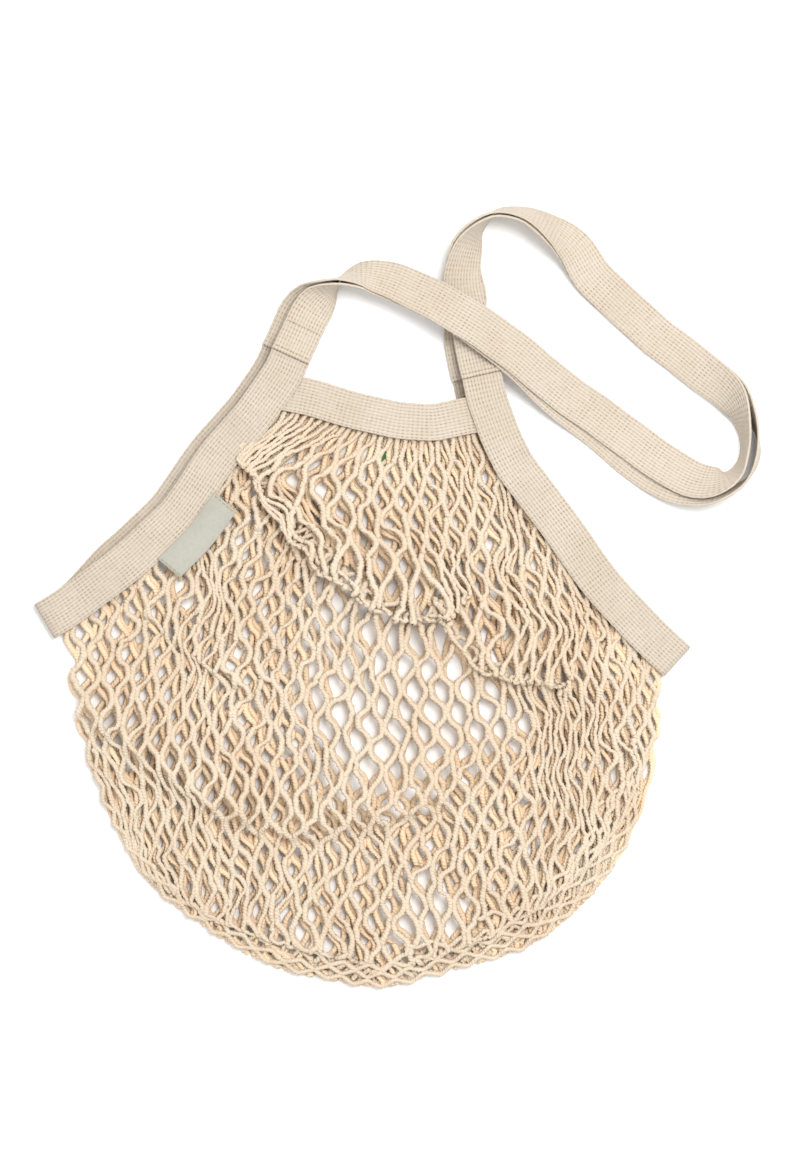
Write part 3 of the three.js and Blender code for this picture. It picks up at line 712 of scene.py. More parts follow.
def finishCloth(mat, shader, kind, colour, height):
    nodes, links = mat.node_tree.nodes, mat.node_tree.links
    links.new(colour, shader.inputs["Base Color"])
    bump = nodes.new("ShaderNodeBump")
    bump.inputs["Strength"].default_value = finish[kind]["bump"]
    bump.inputs["Distance"].default_value = finish[kind]["depth"]
    links.new(height, bump.inputs["Height"])
    links.new(bump.outputs[0], shader.inputs["Normal"])
    return mat


def makeTapeMaterial(name, light, dark, holeShadeColour):
    mat, shader, place, uv, tone = clothMaterial(name, "tape", light, dark)
    tree = mat.node_tree
    woven = groupNode(tree.nodes, tapeWeave)
    tree.links.new(uv, woven.inputs["UV"])
    tree.links.new(place, woven.inputs["Place"])
    # Painted shade in the grooves between the ribs, in a darker copy of the tape's dark colour.
    shade = mathNode(tree, "MULTIPLY", woven.outputs["GrooveShade"], 0.42)
    colour = mixColour(tree, shade, tone.outputs["Color"], tuple(c * 0.72 for c in dark))
    # Painted shade inside the pinholes.
    colour = mixColour(tree, woven.outputs["HoleShade"], colour, holeShadeColour)
    thread = mathNode(tree, "MULTIPLY", woven.outputs["Thread"], 0.25)
    fuzz = mathNode(tree, "MULTIPLY", tone.outputs["Fuzz"], 0.5)
    height = mathNode(tree, "ADD", thread, fuzz)
    return finishCloth(mat, shader, "tape", colour, height)


def makeYarnMaterial(name, light, dark):
    mat, shader, _, uv, tone = clothMaterial(name, "yarn", light, dark)
    tree = mat.node_tree
    twist = groupNode(tree.nodes, yarnTwist)
    tree.links.new(uv, twist.inputs["UV"])
    # Painted shade in the grooves between the plies, in the dark yarn colour.
    plyGrooveShade = mapNode(tree, twist.outputs["Ply"], -1.0, 0.1, 0.22, 0)
    colour = mixColour(tree, plyGrooveShade, tone.outputs["Color"], dark)
    fuzz = mathNode(tree, "MULTIPLY", tone.outputs["Fuzz"], 1.2)
    height = mathNode(tree, "ADD", twist.outputs["Ply"], fuzz)
    return finishCloth(mat, shader, "yarn", colour, height)


def makeLabelMaterial(name, light, dark, patch=None, patchColour=(0, 0, 0)):
    # Smooth ribbon or thread; patch = (from, to) along it in millimetres.
    mat, shader, _, uv, tone = clothMaterial(name, "label", light, dark)
    tree = mat.node_tree
    colour = tone.outputs["Color"]
    if patch:
        along = splitNode(tree, uv)[0]
        after = mathNode(tree, "GREATER_THAN", along, patch[0])
        before = mathNode(tree, "LESS_THAN", along, patch[1])
        inside = mathNode(tree, "MULTIPLY", after, before)
        colour = mixColour(tree, inside, colour, patchColour)
    threads = groupNode(tree.nodes, crossThreads)
    tree.links.new(uv, threads.inputs["UV"])
    return finishCloth(mat, shader, "label", colour, threads.outputs["Wave"])


paint = dict(
    tapeLight=(0.59, 0.52, 0.43),
    # tapeDark is the dark end of the tape's tone and also gives the painted shade in its grooves.
    tapeDark=(0.52, 0.44, 0.35),
    # Painted shade: the colour of the pinholes' shaded insides.
    tapeHoleShade=(0.30, 0.22, 0.15),
    yarnLight=(0.70, 0.605, 0.475),
    # yarnDark is the dark end of the yarn's tone and also gives the painted shade between the
    # plies.
    yarnDark=(0.64, 0.50, 0.36),
    # Painted light: the layers under the front wall get a lighter, warmer yarn than the front,
    # standing in for light scattered through the cotton into their shade.
    innerLight=(0.85, 0.69, 0.50),
    innerDark=(0.79, 0.58, 0.38),
    labelLight=(0.43, 0.42, 0.36),
    labelDark=(0.38, 0.37, 0.31),
    careLight=(0.82, 0.82, 0.76),
    careDark=(0.74, 0.74, 0.68),
    carePatch=(0.03, 0.2, 0.06),
    patchAt=(46, 55),  # millimetres along the inside label
    thread=(0.30, 0.20, 0.11),
    seam=(0.60, 0.50, 0.38),
)
tapeMaterial = makeTapeMaterial("tape", paint["tapeLight"], paint["tapeDark"], paint["tapeHoleShade"])
yarnMaterial = makeYarnMaterial("yarn", paint["yarnLight"], paint["yarnDark"])
# A lighter copy of the yarn, as painted light for the back, inner and deep layers.
underLitYarnMaterial = makeYarnMaterial("underLitYarn", paint["innerLight"], paint["innerDark"])
labelMaterial = makeLabelMaterial("labelCloth", paint["labelLight"], paint["labelDark"])
careMaterial = makeLabelMaterial(
    "careCloth", paint["careLight"], paint["careDark"], paint["patchAt"], paint["carePatch"]
)
threadMaterial = makeLabelMaterial("labelThread", paint["thread"], paint["thread"])
seamMaterial = makeLabelMaterial("sewingThread", paint["seam"], paint["thread"])
print("materials made")

# The woven tapes.
weave = dict(
    along=2.9,  # from pinhole to pinhole along the tape
    rows=12,  # rows of pinholes across it
    rib=0.34,  # height of the ribs
    pit=0.40,  # depth of the pinholes
    selvedge=0.28,  # extra thickness of the edges
    edgeFrom=0.93,  # where the edges start, of half the width
    edgeRound=0.35,  # how far the faces stop before the edge
    faceIn=0.1,
    scallop=0.12,  # how far the edge swings in and out
    rough=0.05,  # unevenness of the threads
    drift=0.45,  # how far the tape wanders sideways
    buckle=0.14,  # and up
)


def makeTape(name, stations, width, thick, material, relief=(1, 1)):
    # A woven tape swept through stations; relief of its front and its back face.
    points, across, out = stations
    runs = np.linalg.norm(np.diff(points, axis=0), axis=1)
    s = np.concatenate([[0], np.cumsum(runs)])
    length = s[-1]
    count = int(round(length / (weave["along"] / 2)))
    at = np.linspace(0, length, count + 1)

    def spread(values):
        return np.stack([np.interp(at, s, values[:, c]) for c in range(3)], 1)

    p = spread(points)
    a = unit(spread(across))
    o = unit(spread(out))
    columns = weave["rows"] * 2 + 1
    t = np.linspace(-1, 1, columns)
    i = np.arange(count + 1)[:, None]
    j = np.arange(columns)[None, :]
    valley = (j % 2 == 1).astype(float)
    pit = valley * (i % 2 == 0)
    edge = (np.abs(t) > weave["edgeFrom"]).astype(float)[None, :]
    profile = weave["rib"] * (0.5 - valley) - weave["pit"] * pit
    profile = profile * (1 - edge) + weave["selvedge"] * edge * 0.5
    rng = np.random.default_rng(len(name) * 7 + count)
    place = np.stack([at, 0 * at], 1)
    inner = smooth(0, 25, np.minimum(at, length - at))[:, None]
    p = p + a * wobble(place, count, 30, 110, weave["drift"])[:, None] * inner
    p = p + o * np.abs(wobble(place, count + 1, 20, 60, weave["buckle"]))[:, None] * inner
    jitter = rng.normal(0, weave["rough"], (count + 1, columns))
    side = t * (width / 2 - weave["edgeRound"])
    faces = []
    for sign, share in ((1, relief[0]), (-1, relief[1])):
        height = (thick / 2 - weave["faceIn"] + (profile + jitter) * share) * sign
        xyz = p[:, None] + a[:, None] * side[None, :, None] + o[:, None] * height[..., None]
        faces.append(xyz)
    rims = []
    for sign in (1, -1):
        wave = width / 2 + weave["scallop"] * np.sin(i[:, 0] * np.pi / 2)
        rims.append(p + a * (wave * sign)[:, None])
    ring = np.concatenate(
        [faces[0], rims[0][:, None], faces[1][:, ::-1], rims[1][:, None]], 1
    )
    around = ring.shape[1]
    quads, k, nxt = ringQuads(count + 1, around)
    # Millimetres along and across for the weave; the pinholes sit at half cells.
    cell = width / weave["rows"]
    face = (t + 1) / 2 * weave["rows"] * cell
    acrossMm = np.concatenate([face, [width], face[::-1], [0]])
    alongMm = (np.arange(count + 1) + 1) * weave["along"] / 2
    u0, u1 = alongMm[:-1, None] + 0 * k, alongMm[1:, None] + 0 * k
    v0, v1 = acrossMm[k] + 0 * u0, acrossMm[nxt] + 0 * u0
    uv = cornerUv(u0, u1, v0, v1)
    caps, capUv = [], []
    for end, flip in ((0, False), (count, True)):
        row = end * around
        for c in range(columns - 1):
            under = row + 2 * columns - c
            q = [row + c, row + c + 1, under - 1, under]
            caps.append(q if flip else q[::-1])
            capUv.append([[alongMm[end], acrossMm[c] + 0.5 * cell]] * 4)
    quads = np.concatenate([quads[:, ::-1], np.array(caps)[:, ::-1]])
    uv = np.concatenate([uv.reshape(-1, 4, 2)[:, ::-1], np.array(capUv)[:, ::-1]])
    return makeMesh(name, ring.reshape(-1, 3), quads, uv, material)


handleLine = handleStations(True)
backHandleLine = handleStations(False)
leftLine = sideStations(leftSide)
rightLine = sideStations(rightSide)
frontLine = topStations(0, topTrack.length, topHeight)
backLine = topStations(
    tapeWidth * 0.62,
    topTrack.length - tapeWidth * 0.62,
    lambda d: tapeThick / 2 + 0 * d,
)
frontHandle = makeTape("shoulder_tape_front", handleLine, tapeWidth, tapeThick, tapeMaterial)
backHandle = makeTape("shoulder_tape_back", backHandleLine, tapeWidth, tapeThick, tapeMaterial)
leftTape = makeTape("left_band_tape", leftLine, tapeWidth, tapeThick, tapeMaterial)
rightTape = makeTape("right_band_tape", rightLine, tapeWidth, tapeThick, tapeMaterial)
frontTape = makeTape("front_band_tape", frontLine, topWidth, tapeThick, tapeMaterial)
backTape = makeTape("back_band_tape", backLine, topWidth, tapeThick, tapeMaterial, (1, 0.3))
print("tapes made")

# The two labels.
labels = dict(
    start=80,
    length=56,
    width=19,
    seam=1.5,
    careStart=24,
    careLength=58,
    careWidth=21,
    thick=0.8,
    gap=0.4,
)


def labelHeights(d):
    u = leftSide.uAt(d)
    over = np.max([fanHeights(u, v + 0 * u)[1] for v in (0.05, 0.10, 0.15, 0.20)])
    base = leftSide.high(d) + tapeThick / 2 + labels["gap"] + labels["thick"] / 2
    return base, np.maximum(base, over + labels["gap"] + labels["thick"] / 2)


def careHeights(d):
    share = topShare(d)
    u = (1 + np.clip(share, 0, 1)) / 3
    top = fanHeights(u, 0 * u)[0] + bag["netWall"] + labels["gap"] + labels["thick"] / 2
    edge = topWidth / 2 - bag["netTuck"]
    slope = bag["bandLift"] / bag["bandRamp"]
    return (
        top - slope * (topWidth / 2 - edge),
        top - slope * (topWidth / 2 + labels["careWidth"] - edge),
    )


def makeLabel(name, stations, width, thick, material):
    # A plain thin tape with softened edges.
    points, across, out = stations
    half, face = width / 2, thick / 2
    section = [
        [-half, 0], [-half + 0.4, -face], [0, -face], [half - 0.4, -face],
        [half, 0], [half - 0.4, face], [0, face], [-half + 0.4, face],
    ]
    section = np.array(section)
    n, m = len(points), len(section)
    ring = (
        points[:, None]
        + across[:, None] * section[None, :, :1]
        + out[:, None] * section[None, :, 1:]
    )
    quads, k, nxt = ringQuads(n, m)
    s = np.concatenate([[0], np.cumsum(np.linalg.norm(np.diff(points, axis=0), axis=1))])
    u0, u1 = s[:-1, None] + 0 * k, s[1:, None] + 0 * k
    v0, v1 = section[k, 0] + 0 * u0, section[nxt, 0] + 0 * u0
    uv = cornerUv(u0, u1, v0, v1)
    last = (n - 1) * m
    caps = np.array([
        [0, 1, 2, 7], [2, 3, 6, 7], [3, 4, 5, 6],
        [last + 7, last + 2, last + 1, last], [last + 7, last + 6, last + 3, last + 2],
        [last + 6, last + 5, last + 4, last + 3],
    ])
    quads = np.concatenate([quads, caps[:, ::-1]])
    uv = np.concatenate([uv.reshape(-1, 4, 2), np.zeros((6, 4, 2))])
    return makeMesh(name, ring.reshape(-1, 3), quads, uv, material)


labelLine = labelStations(
    leftTrack,
    labels["start"],
    labels["length"],
    tapeWidth / 2 - labels["seam"],
    labels["width"],
    labelHeights,
)
labelPiece = makeLabel("sewn_label", labelLine, labels["width"], labels["thick"], labelMaterial)
careLine = labelStations(
    topTrack,
    labels["careStart"],
    labels["careLength"],
    topWidth / 2,
    labels["careWidth"],
    careHeights,
)
carePiece = makeLabel("inside_label", careLine, labels["careWidth"], labels["thick"], careMaterial)
print("labels made")

# The net.
net = dict(
    left=14,  # strands from the left band, the top band and the right band
    middle=26,
    right=15,
    row=14.1,  # half a diamond, along a strand
    rowsFrom=140,  # how far up the rows are counted from
    thick=4.1,  # of a strand
    slim=0.64,  # how thin the strands get where they are drawn together
    meet=0.39,  # how far joined strands lean to each other, of their distance
    held=1.0,  # how long they stay joined: 0.1 for a short touch, 3 for most of the way
    drawnMiddle=26,  # how far from the top band and the side bands they run side by side
    drawnSide=15,
    spread=0.30,  # how far the top band's strands open out half way down
    bottomFrom=0.20,  # where the bottom starts and ends along the outline
    middleFrom=0.36,  # where the top band's strands start and end along it
    middleTo=0.70,
    bottomTo=0.84,
    hemRows=1.6,  # half diamonds rolled under at the hem
    step=1.0,  # between the rings of a front strand
    backStep=3.0,
    beads=0.13,  # how much the knit swells and narrows
    drift=2.4,  # how far the strands wander
    kink=0.36,  # small kinks of a strand, sideways and up
    kinkUp=0.20,
    jointRise=0.3,  # how much higher a strand runs at half its swing
    sides=6,  # corners round a strand, an even number
    slackFrom=0.6,  # how far the walls must lie apart for slack between them, of 1
)
strandCount = net["left"] + net["middle"] + net["right"]
middleStart = net["left"] / strandCount
middleEnd = 1 - net["right"] / strandCount
pixel = 0.64  # millimetres to a pixel of the photograph
photoMiddle = (400, 596)  # its pixel at the frame's origin


def fromPhoto(rows):
    return [[(x - photoMiddle[0]) * pixel, (photoMiddle[1] - y) * pixel] for x, y in rows]


def nearSpot(xy, spot, reach):
    # 1 at the spot, fading out over the reach, which is in pixels.
    return np.exp(-(((xy - spot) ** 2).sum(-1)) / (reach * pixel) ** 2)


# Where the slack net folds over itself: the line, how far it is pushed over it and
# from how far above and below, and how far it stands up.
netFolds = [
    dict(
        line=[(234, 436), (252, 466), (262, 492), (285, 522), (308, 545), (348, 586), (388, 610),
              (425, 619), (458, 606), (474, 590)],
        push=14, above=14, below=6, lift=7.0, back=34, fade=16, rows=2,
    ),
    dict(
        line=[(440, 616), (462, 648), (486, 671), (530, 681), (572, 688)],
        push=10, above=11, below=5, lift=5.0, back=26, fade=16, rows=2,
    ),
    dict(
        line=[(128, 596), (168, 636), (214, 672), (262, 702)],
        push=5, above=10, below=9, lift=2.5, back=18, fade=20, rows=0,
    ),
    dict(
        line=[(52, 690), (90, 722), (130, 752), (200, 800), (250, 824), (290, 836), (340, 830),
              (400, 815), (470, 790)],
        push=3.2, above=14, below=11, lift=5.0, back=24, fade=25, rows=0,
    ),
    dict(
        line=[(400, 968), (470, 944), (540, 906), (596, 856), (634, 792), (650, 730)],
        push=6, above=9, below=7, lift=2.5, back=14, fade=25, rows=0,
    ),
    dict(
        line=[(150, 880), (220, 922), (300, 950), (390, 968)],
        push=5, above=9, below=7, lift=2.0, back=14, fade=25, rows=0,
    ),
]
# Soft sideways drags of the net: x, y, by x, by y in pixels, and the reach.
netDrags = [
    (322, 470, -46, 0, 42),
    (372, 500, -22, 4, 44),
    (270, 440, -16, 6, 28),
    (535, 745, 18, 0, 46),
    (150, 640, 8, -6, 60),
]
# Places where the back of the net lies right under the front: x, y and reach in pixels.
netClear = [
    (385, 715, 100),
    (430, 925, 46),
    (176, 602, 22),
    (330, 598, 24),
    (232, 655, 16),
    (625, 775, 18),
    (540, 840, 18),
    (480, 700, 40),
]
# Places where the net is twisted round: x, y, reach in pixels and degrees.
netSwirls = [
    (506, 592, 38, 26),
    (190, 628, 40, -22),
    (552, 650, 30, -26),
    (604, 604, 34, 20),
    (110, 770, 40, 18),
    (300, 860, 46, -14),
    (560, 800, 50, 16),
]
# Gathers pull the strands together: x, y, reach across and down in pixels, and how much.
netGathers = [
    (512, 740, 70, 60, 0.22),
    (205, 640, 50, 60, 0.30),
    (468, 600, 26, 50, 0.18),
]


# The slack inside the bag: how far each layer lies beside the wall's strands, of their
# distance, how high between the walls, and how far its diamonds are shifted, in rows.
netSlack = dict(
    inner=dict(slip=0.55, level=0.50, shift=0.45),
    deep=dict(slip=-0.35, level=0.28, shift=1.40),
)


def makeMouthLine():
    # The mouth as one line with its two corners, and how far along them they lie.
    u = np.linspace(0, 1, 1501)
    xy = mouthPoint(u)
    run = np.concatenate([[0], np.cumsum(np.linalg.norm(np.diff(xy, axis=0), axis=1))])
    corners = []
    for corner in (1 / 3, 2 / 3):
        k = np.searchsorted(u, corner)
        jump = np.argmax(np.diff(run[k - 4 : k + 4])) + k - 4
        corners.append((run[jump] + run[jump + 1]) / 2)
    return xy, run, corners


mouthLine, mouthRun, mouthCorners = makeMouthLine()


def mouthAt(w):
    # The mouth by share of the strands.
    along = [0, *mouthCorners, mouthRun[-1]]
    d = np.interp(w, [0, middleStart, middleEnd, 1], along)
    return np.stack([np.interp(d, mouthRun, mouthLine[:, c]) for c in range(2)], -1)


def hemAt(w):
    places = [net["bottomFrom"], net["middleFrom"], net["middleTo"], net["bottomTo"]]
    share = np.interp(w, [0, middleStart, middleEnd, 1], places)
    return outlineTrack.at(share * outlineTrack.length)[..., :2]


def patchPoint(w, v):
    # The net's own layout: strands run from the mouth to the bottom hem, the outer
    # ones along the outline.
    low, high = net["bottomFrom"], net["bottomTo"]
    length = outlineTrack.length
    corner0, corner1 = mouthAt(0.0), mouthAt(1.0)
    w = w - net["spread"] * np.sin(np.pi * v) * np.sin(2 * np.pi * w) / (2 * np.pi)
    fade = ((1 - v) ** 3)[..., None]
    left = outlineTrack.at(v * low * length)[..., :2] + (corner0 - outlinePoint(0.0)) * fade
    right = outlineTrack.at((1 - v * (1 - high)) * length)[..., :2]
    right = right + (corner1 - outlinePoint(1.0)) * fade
    end0, end1 = hemAt(0.0), hemAt(1.0)
    mouth, hem = mouthAt(w), hemAt(w)
    w, v = w[..., None], v[..., None]
    return (
        (1 - v) * mouth + v * hem + (1 - w) * left + w * right
        - (1 - w) * (1 - v) * corner0 - w * (1 - v) * corner1
        - (1 - w) * v * end0 - w * v * end1
    )


class Heights:
    # The solids' lower and upper face of the net, read at any place.
    def __init__(self, cell=4.0):
        self.cell = cell
        u, v = np.meshgrid(np.linspace(0, 1, 400), np.linspace(0, 1, 260), indexing="ij")
        xy = fanPoint(u, v)
        low, high = fanHeights(u, v)
        self.corner = xy.reshape(-1, 2).min(0) - 20
        top = xy.reshape(-1, 2).max(0) + 20
        size = np.ceil((top - self.corner) / cell).astype(int) + 1
        k = np.round((xy - self.corner) / cell).astype(int).reshape(-1, 2)
        count = np.zeros(size)
        np.add.at(count, (k[:, 0], k[:, 1]), 1)
        self.grids = []
        for values in (low, high):
            total = np.zeros(size)
            np.add.at(total, (k[:, 0], k[:, 1]), values.ravel())
            weight = (count > 0).astype(float)
            grid = np.where(count > 0, total / np.maximum(count, 1), 0)
            for _ in range(30):
                near = np.zeros(size)
                have = np.zeros(size)
                for dx, dy in ((1, 0), (-1, 0), (0, 1), (0, -1)):
                    near += np.roll(grid * weight, (dx, dy), (0, 1))
                    have += np.roll(weight, (dx, dy), (0, 1))
                fill = (weight == 0) & (have > 0)
                grid = np.where(fill, near / np.maximum(have, 1), grid)
                weight = np.maximum(weight, fill)
            self.grids.append(grid)

    def at(self, xy, which):
        grid = self.grids[which]
        f = (xy - self.corner) / self.cell
        f = np.clip(f, 0, np.array(grid.shape) - 1.001)
        k = f.astype(int)
        r = f - k
        x, y = k[..., 0], k[..., 1]
        a = mix(grid[x, y], grid[x + 1, y], r[..., 0])
        b = mix(grid[x, y + 1], grid[x + 1, y + 1], r[..., 0])
        return mix(a, b, r[..., 1])


heights = Heights()


def foldNet(xy, along):
    # Moves places over the fold lines; returns them, their rise and the rows folded in.
    moved = xy.copy()
    rise = np.zeros(along.shape)
    rows = np.zeros(along.shape)
    for fold in netFolds:
        line = Track(fromPhoto(fold["line"]), 8, scaled=False)
        d = np.arange(0, line.length, 3.0)
        foot, ahead = line.at(d)[:, :2], line.heading(d)
        flat = xy.reshape(-1, 2)
        k = ((flat[:, None] - foot[None]) ** 2).sum(-1).argmin(1)
        up = np.stack([-ahead[k, 1], ahead[k, 0]], 1)
        away = flat - foot[k]
        t = (away * up).sum(1)
        beyond = (away * ahead[k]).sum(1)
        ends = smooth(0, fold["fade"], d[k]) * smooth(0, fold["fade"], line.length - d[k])
        ends = ends * np.exp(-((beyond / 12) ** 2))
        reach = np.where(t > 0, fold["above"], fold["below"])
        bow = t / reach * np.exp(0.5 - (t / reach) ** 2 / 2)
        ripple = 1 + wobble(flat, 11, 14, 34, 0.22)
        push = fold["push"] * ends * ripple * bow
        moved -= (up * push[:, None]).reshape(xy.shape)
        stand = smooth(-fold["below"], fold["above"] * 0.8, t)
        stand = stand * np.exp(-((np.maximum(t, 0) / fold["back"]) ** 2))
        sink = np.exp(-((np.minimum(t + fold["below"], 0) / 12) ** 2))
        sink = sink * (1 - smooth(-fold["below"], 0, t))
        rise += ((fold["lift"] * stand - sink) * ends).reshape(rise.shape)
        if not fold["rows"]:
            continue
        t, ends = t.reshape(rise.shape), ends.reshape(rise.shape)
        for n in range(len(t)):
            cross = np.nonzero((t[n, :-1] > 0) & (t[n, 1:] <= 0))[0]
            cross = [c for c in cross if ends[n, c] > 0.4]
            if cross:
                at = along[n, cross[0]]
                low, high = at - fold["above"], at + fold["below"]
                rows[n] += fold["rows"] * smooth(low, high, along[n])
    return moved, rise, rows


def dragNet(xy, fromMouth, front):
    moved = xy.copy()
    hold = smooth(2, 24, fromMouth)
    for x, y, dx, dy, reach in netDrags:
        centre = np.array(fromPhoto([(x, y)])[0])
        near = nearSpot(xy, centre, reach) * hold
        moved += near[..., None] * np.array([dx, -dy]) * pixel
    for x, y, reach, degrees in netSwirls if front else []:
        centre = np.array(fromPhoto([(x, y)])[0])
        away = moved - centre
        near = nearSpot(moved, centre, reach) * hold
        turn = np.radians(degrees) * near
        cos, sin = np.cos(turn), np.sin(turn)
        moved[..., 0] = centre[0] + away[..., 0] * cos - away[..., 1] * sin
        moved[..., 1] = centre[1] + away[..., 0] * sin + away[..., 1] * cos
    for x, y, wide, tall, share in netGathers:
        centre = np.array(fromPhoto([(x, y)])[0])
        away = xy - centre
        near = np.exp(
            -((away[..., 0] / wide / pixel) ** 2) - (away[..., 1] / tall / pixel) ** 2
        )
        moved[..., 0] -= away[..., 0] * near * share * hold
    return moved


def layStrands(layer):
    # Lines of the strands of one layer: points and pitch vectors. The inner and deep
    # layers are the slack taken up inside the bag, and are missing where it is clear.
    front = layer == "front"
    count = strandCount
    w = (np.arange(count) + 0.5) / count
    v = np.linspace(0, 1, 320)
    share, down = np.meshgrid(w, v, indexing="ij")
    apart = np.zeros(share.shape)
    if not front:
        near = patchPoint(share, down)
        for x, y, reach in netClear:
            spot = np.array(fromPhoto([(x, y)])[0])
            apart += nearSpot(near, spot, reach)
        apart = 1 - np.minimum(apart * 1.2, 1)
        slip = netSlack[layer]["slip"] if layer in netSlack else 0.08 + apart * 0.2
        share = np.clip(share + slip / count, 0.002, 0.998)
    xy = patchPoint(share, down)
    fromMouth = np.linalg.norm(xy - mouthAt(share), axis=-1)
    edge = smooth(0, 0.06, np.minimum(share, 1 - share)) * smooth(0, 0.08, 1 - down)
    loose = smooth(4, 40, fromMouth) * edge
    drift = np.stack([wobble(xy, seed, 22, 70, net["drift"]) for seed in (3, 4)], -1)
    xy = dragNet(xy, fromMouth, front) + drift * loose[..., None]
    along = lengths(xy)
    left = along[:, -1:] - along
    top = (net["rowsFrom"] - mouthAt(share)[..., 1]) / net["row"]
    base = along / net["row"] + top
    phase = base + net["hemRows"] * (1 - smooth(0, 18, left)) + apart
    if layer in netSlack:
        slack = netSlack[layer]
        phase = phase - apart * slack["shift"]
        z = mix(heights.at(xy, 0), heights.at(xy, 1), slack["level"])
        z = z + wobble(xy, 24, 15, 45, 0.7)
    elif front:
        xy, rise, rows = foldNet(xy, along)
        phase = phase + rows
        z = heights.at(xy, 1) - net["thick"] / 2 + 0.1 + rise
        z += wobble(xy, 21, 15, 45, 0.6) * loose
        z = mix(z, heights.at(xy, 0) + net["thick"] * 0.75, smooth(0.97, 1.0, down))
    else:
        z = heights.at(xy, 0) + net["thick"] / 2 + 0.05
        z += np.abs(wobble(xy, 22, 15, 45, 0.5)) * loose
    line = np.concatenate([xy, z[..., None]], -1)
    s = lengths(line)
    opened = 0.93 + wobble(xy, 31, 12, 40, 0.18)
    step = net["step"] if front else net["backStep"]
    strands = []
    rng = np.random.default_rng(8 if front else 9)
    for k in range(count):
        at = np.linspace(0, s[k, -1], max(12, int(s[k, -1] / step)))
        row = np.interp(at, s[k], base[k])
        here = np.stack([np.interp(at, s[k], line[k, :, c]) for c in range(3)], 1)
        sides = []
        for n in (max(k - 1, 0), min(k + 1, count - 1)):
            sides.append(np.stack([np.interp(row, base[n], line[n, :, c]) for c in range(3)], 1))
        pitch = (sides[1] - sides[0]) / (2 if 0 < k < count - 1 else 1)
        ahead = unit(np.gradient(here, axis=0))
        square = np.linalg.norm(np.cross(pitch, ahead), axis=1)
        turn = np.pi * (np.interp(at, s[k], phase[k]) + k)
        swing = np.tanh(net["held"] * np.sin(turn)) / np.tanh(net["held"])
        loosest = smooth(1.9, 6.2, square)
        reach = np.maximum(0.06, net["meet"] * loosest)
        reach = reach * np.clip(np.interp(at, s[k], opened[k]), 0.4, 1.05)
        ends = smooth(0, 6, at) * smooth(0, 4, at[-1] - at)
        drawn = net["drawnMiddle"] if middleStart < w[k] < middleEnd else net["drawnSide"]
        reach = reach * mix(0.25, 1.0, smooth(drawn * 0.3, drawn, at))
        square = np.maximum(square, 0.1)
        over = pitch - ahead * (pitch * ahead).sum(1)[:, None]
        push = np.minimum(square, 10.0) / square
        points = here + over * (reach * swing * ends * push)[:, None]
        own = rng.normal(0, 1, (len(at) // 3 + 2, 3))
        places = np.arange(len(own)) * 3
        kinks = np.stack([np.interp(np.arange(len(at)), places, own[:, c]) for c in range(3)], 1)
        points += kinks * np.array([net["kink"], net["kink"], net["kinkUp"]]) * ends[:, None]
        points[:, 2] += net["jointRise"] * np.abs(np.cos(turn)) * ends
        if layer not in netSlack:
            strands.append((points, pitch))
            continue
        there = np.interp(at, s[k], apart[k]) > net["slackFrom"]
        steps = np.flatnonzero(np.diff(np.concatenate([[0], there.astype(int), [0]])))
        for start, end in steps.reshape(-1, 2):
            if end - start > 8:
                strands.append((points[start:end], pitch[start:end]))
    return strands


def layLegs(strands):
    # Short extra legs between the side bands and the first joints of the net.
    legs = []
    for k in range(strandCount - 1):
        if net["left"] <= k + 1 < net["left"] + net["middle"]:
            continue
        a, b = strands[k][0][4:34], strands[k + 1][0][4:34]
        gap = np.linalg.norm(a[:, None] - b[None], axis=2)
        i, j = np.unravel_index(gap.argmin(), gap.shape)
        joint = (a[i] + b[j]) / 2
        start = np.append(mouthAt((k + 1) / strandCount), joint[2] - 0.4)
        if gap[i, j] > 4.5 or np.linalg.norm(joint - start) > 26:
            continue
        t = np.linspace(0, 1, 16)[:, None]
        line = mix(start, joint, t)
        line[:, 2] += 0.5 * np.sin(np.pi * t[:, 0])
        legs.append((line, np.tile(b[j] - a[i] + np.array([0.1, 0, 0]), (16, 1))))
    return legs


hem = dict(
    wave=19,  # length of a strand's wave along the rim
    swing=1.5,
    turnIn=7,  # how far its ends turn in
    ripple=9.5,  # length of its small rises
)
# Strands drawn along the rim: how far inside it, and where along it they run.
hemLines = [
    (2.2, 0.07, 0.93),
    (7.0, 0.16, 0.94),
    (12.0, 0.42, 0.95),
    (17.5, 0.57, 0.92),
    (23.0, 0.66, 0.90),
]


def layHem():
    strands = []
    for n, (inside, start, end) in enumerate(hemLines):
        d = np.arange(start, end, net["step"] / outlineTrack.length) * outlineTrack.length
        h = outlineTrack.heading(d)
        across = np.stack([-h[:, 1], h[:, 0]], 1)
        run = np.minimum(d - d[0], d[-1] - d)
        xy = outlineTrack.at(d)[:, :2]
        turn = 2 * np.pi * d / hem["wave"] + np.pi * n + wobble(xy, 40, 60, 150, 1)
        swing = np.arcsin(0.95 * np.sin(turn))
        aside = inside + hem["turnIn"] * (1 - smooth(0, 30, run)) + hem["swing"] * swing
        aside = aside + wobble(xy, 41 + n, 30, 70, 0.7)
        xy = xy + across * aside[:, None]
        ripple = 0.4 * np.sin(2 * np.pi * d / hem["ripple"])
        z = heights.at(xy, 1) - net["thick"] / 2 + 1.0 + ripple
        pitch = np.concatenate([across * 5.0, 0 * d[:, None]], 1)
        strands.append((np.concatenate([xy, z[:, None]], 1), pitch))
    return strands


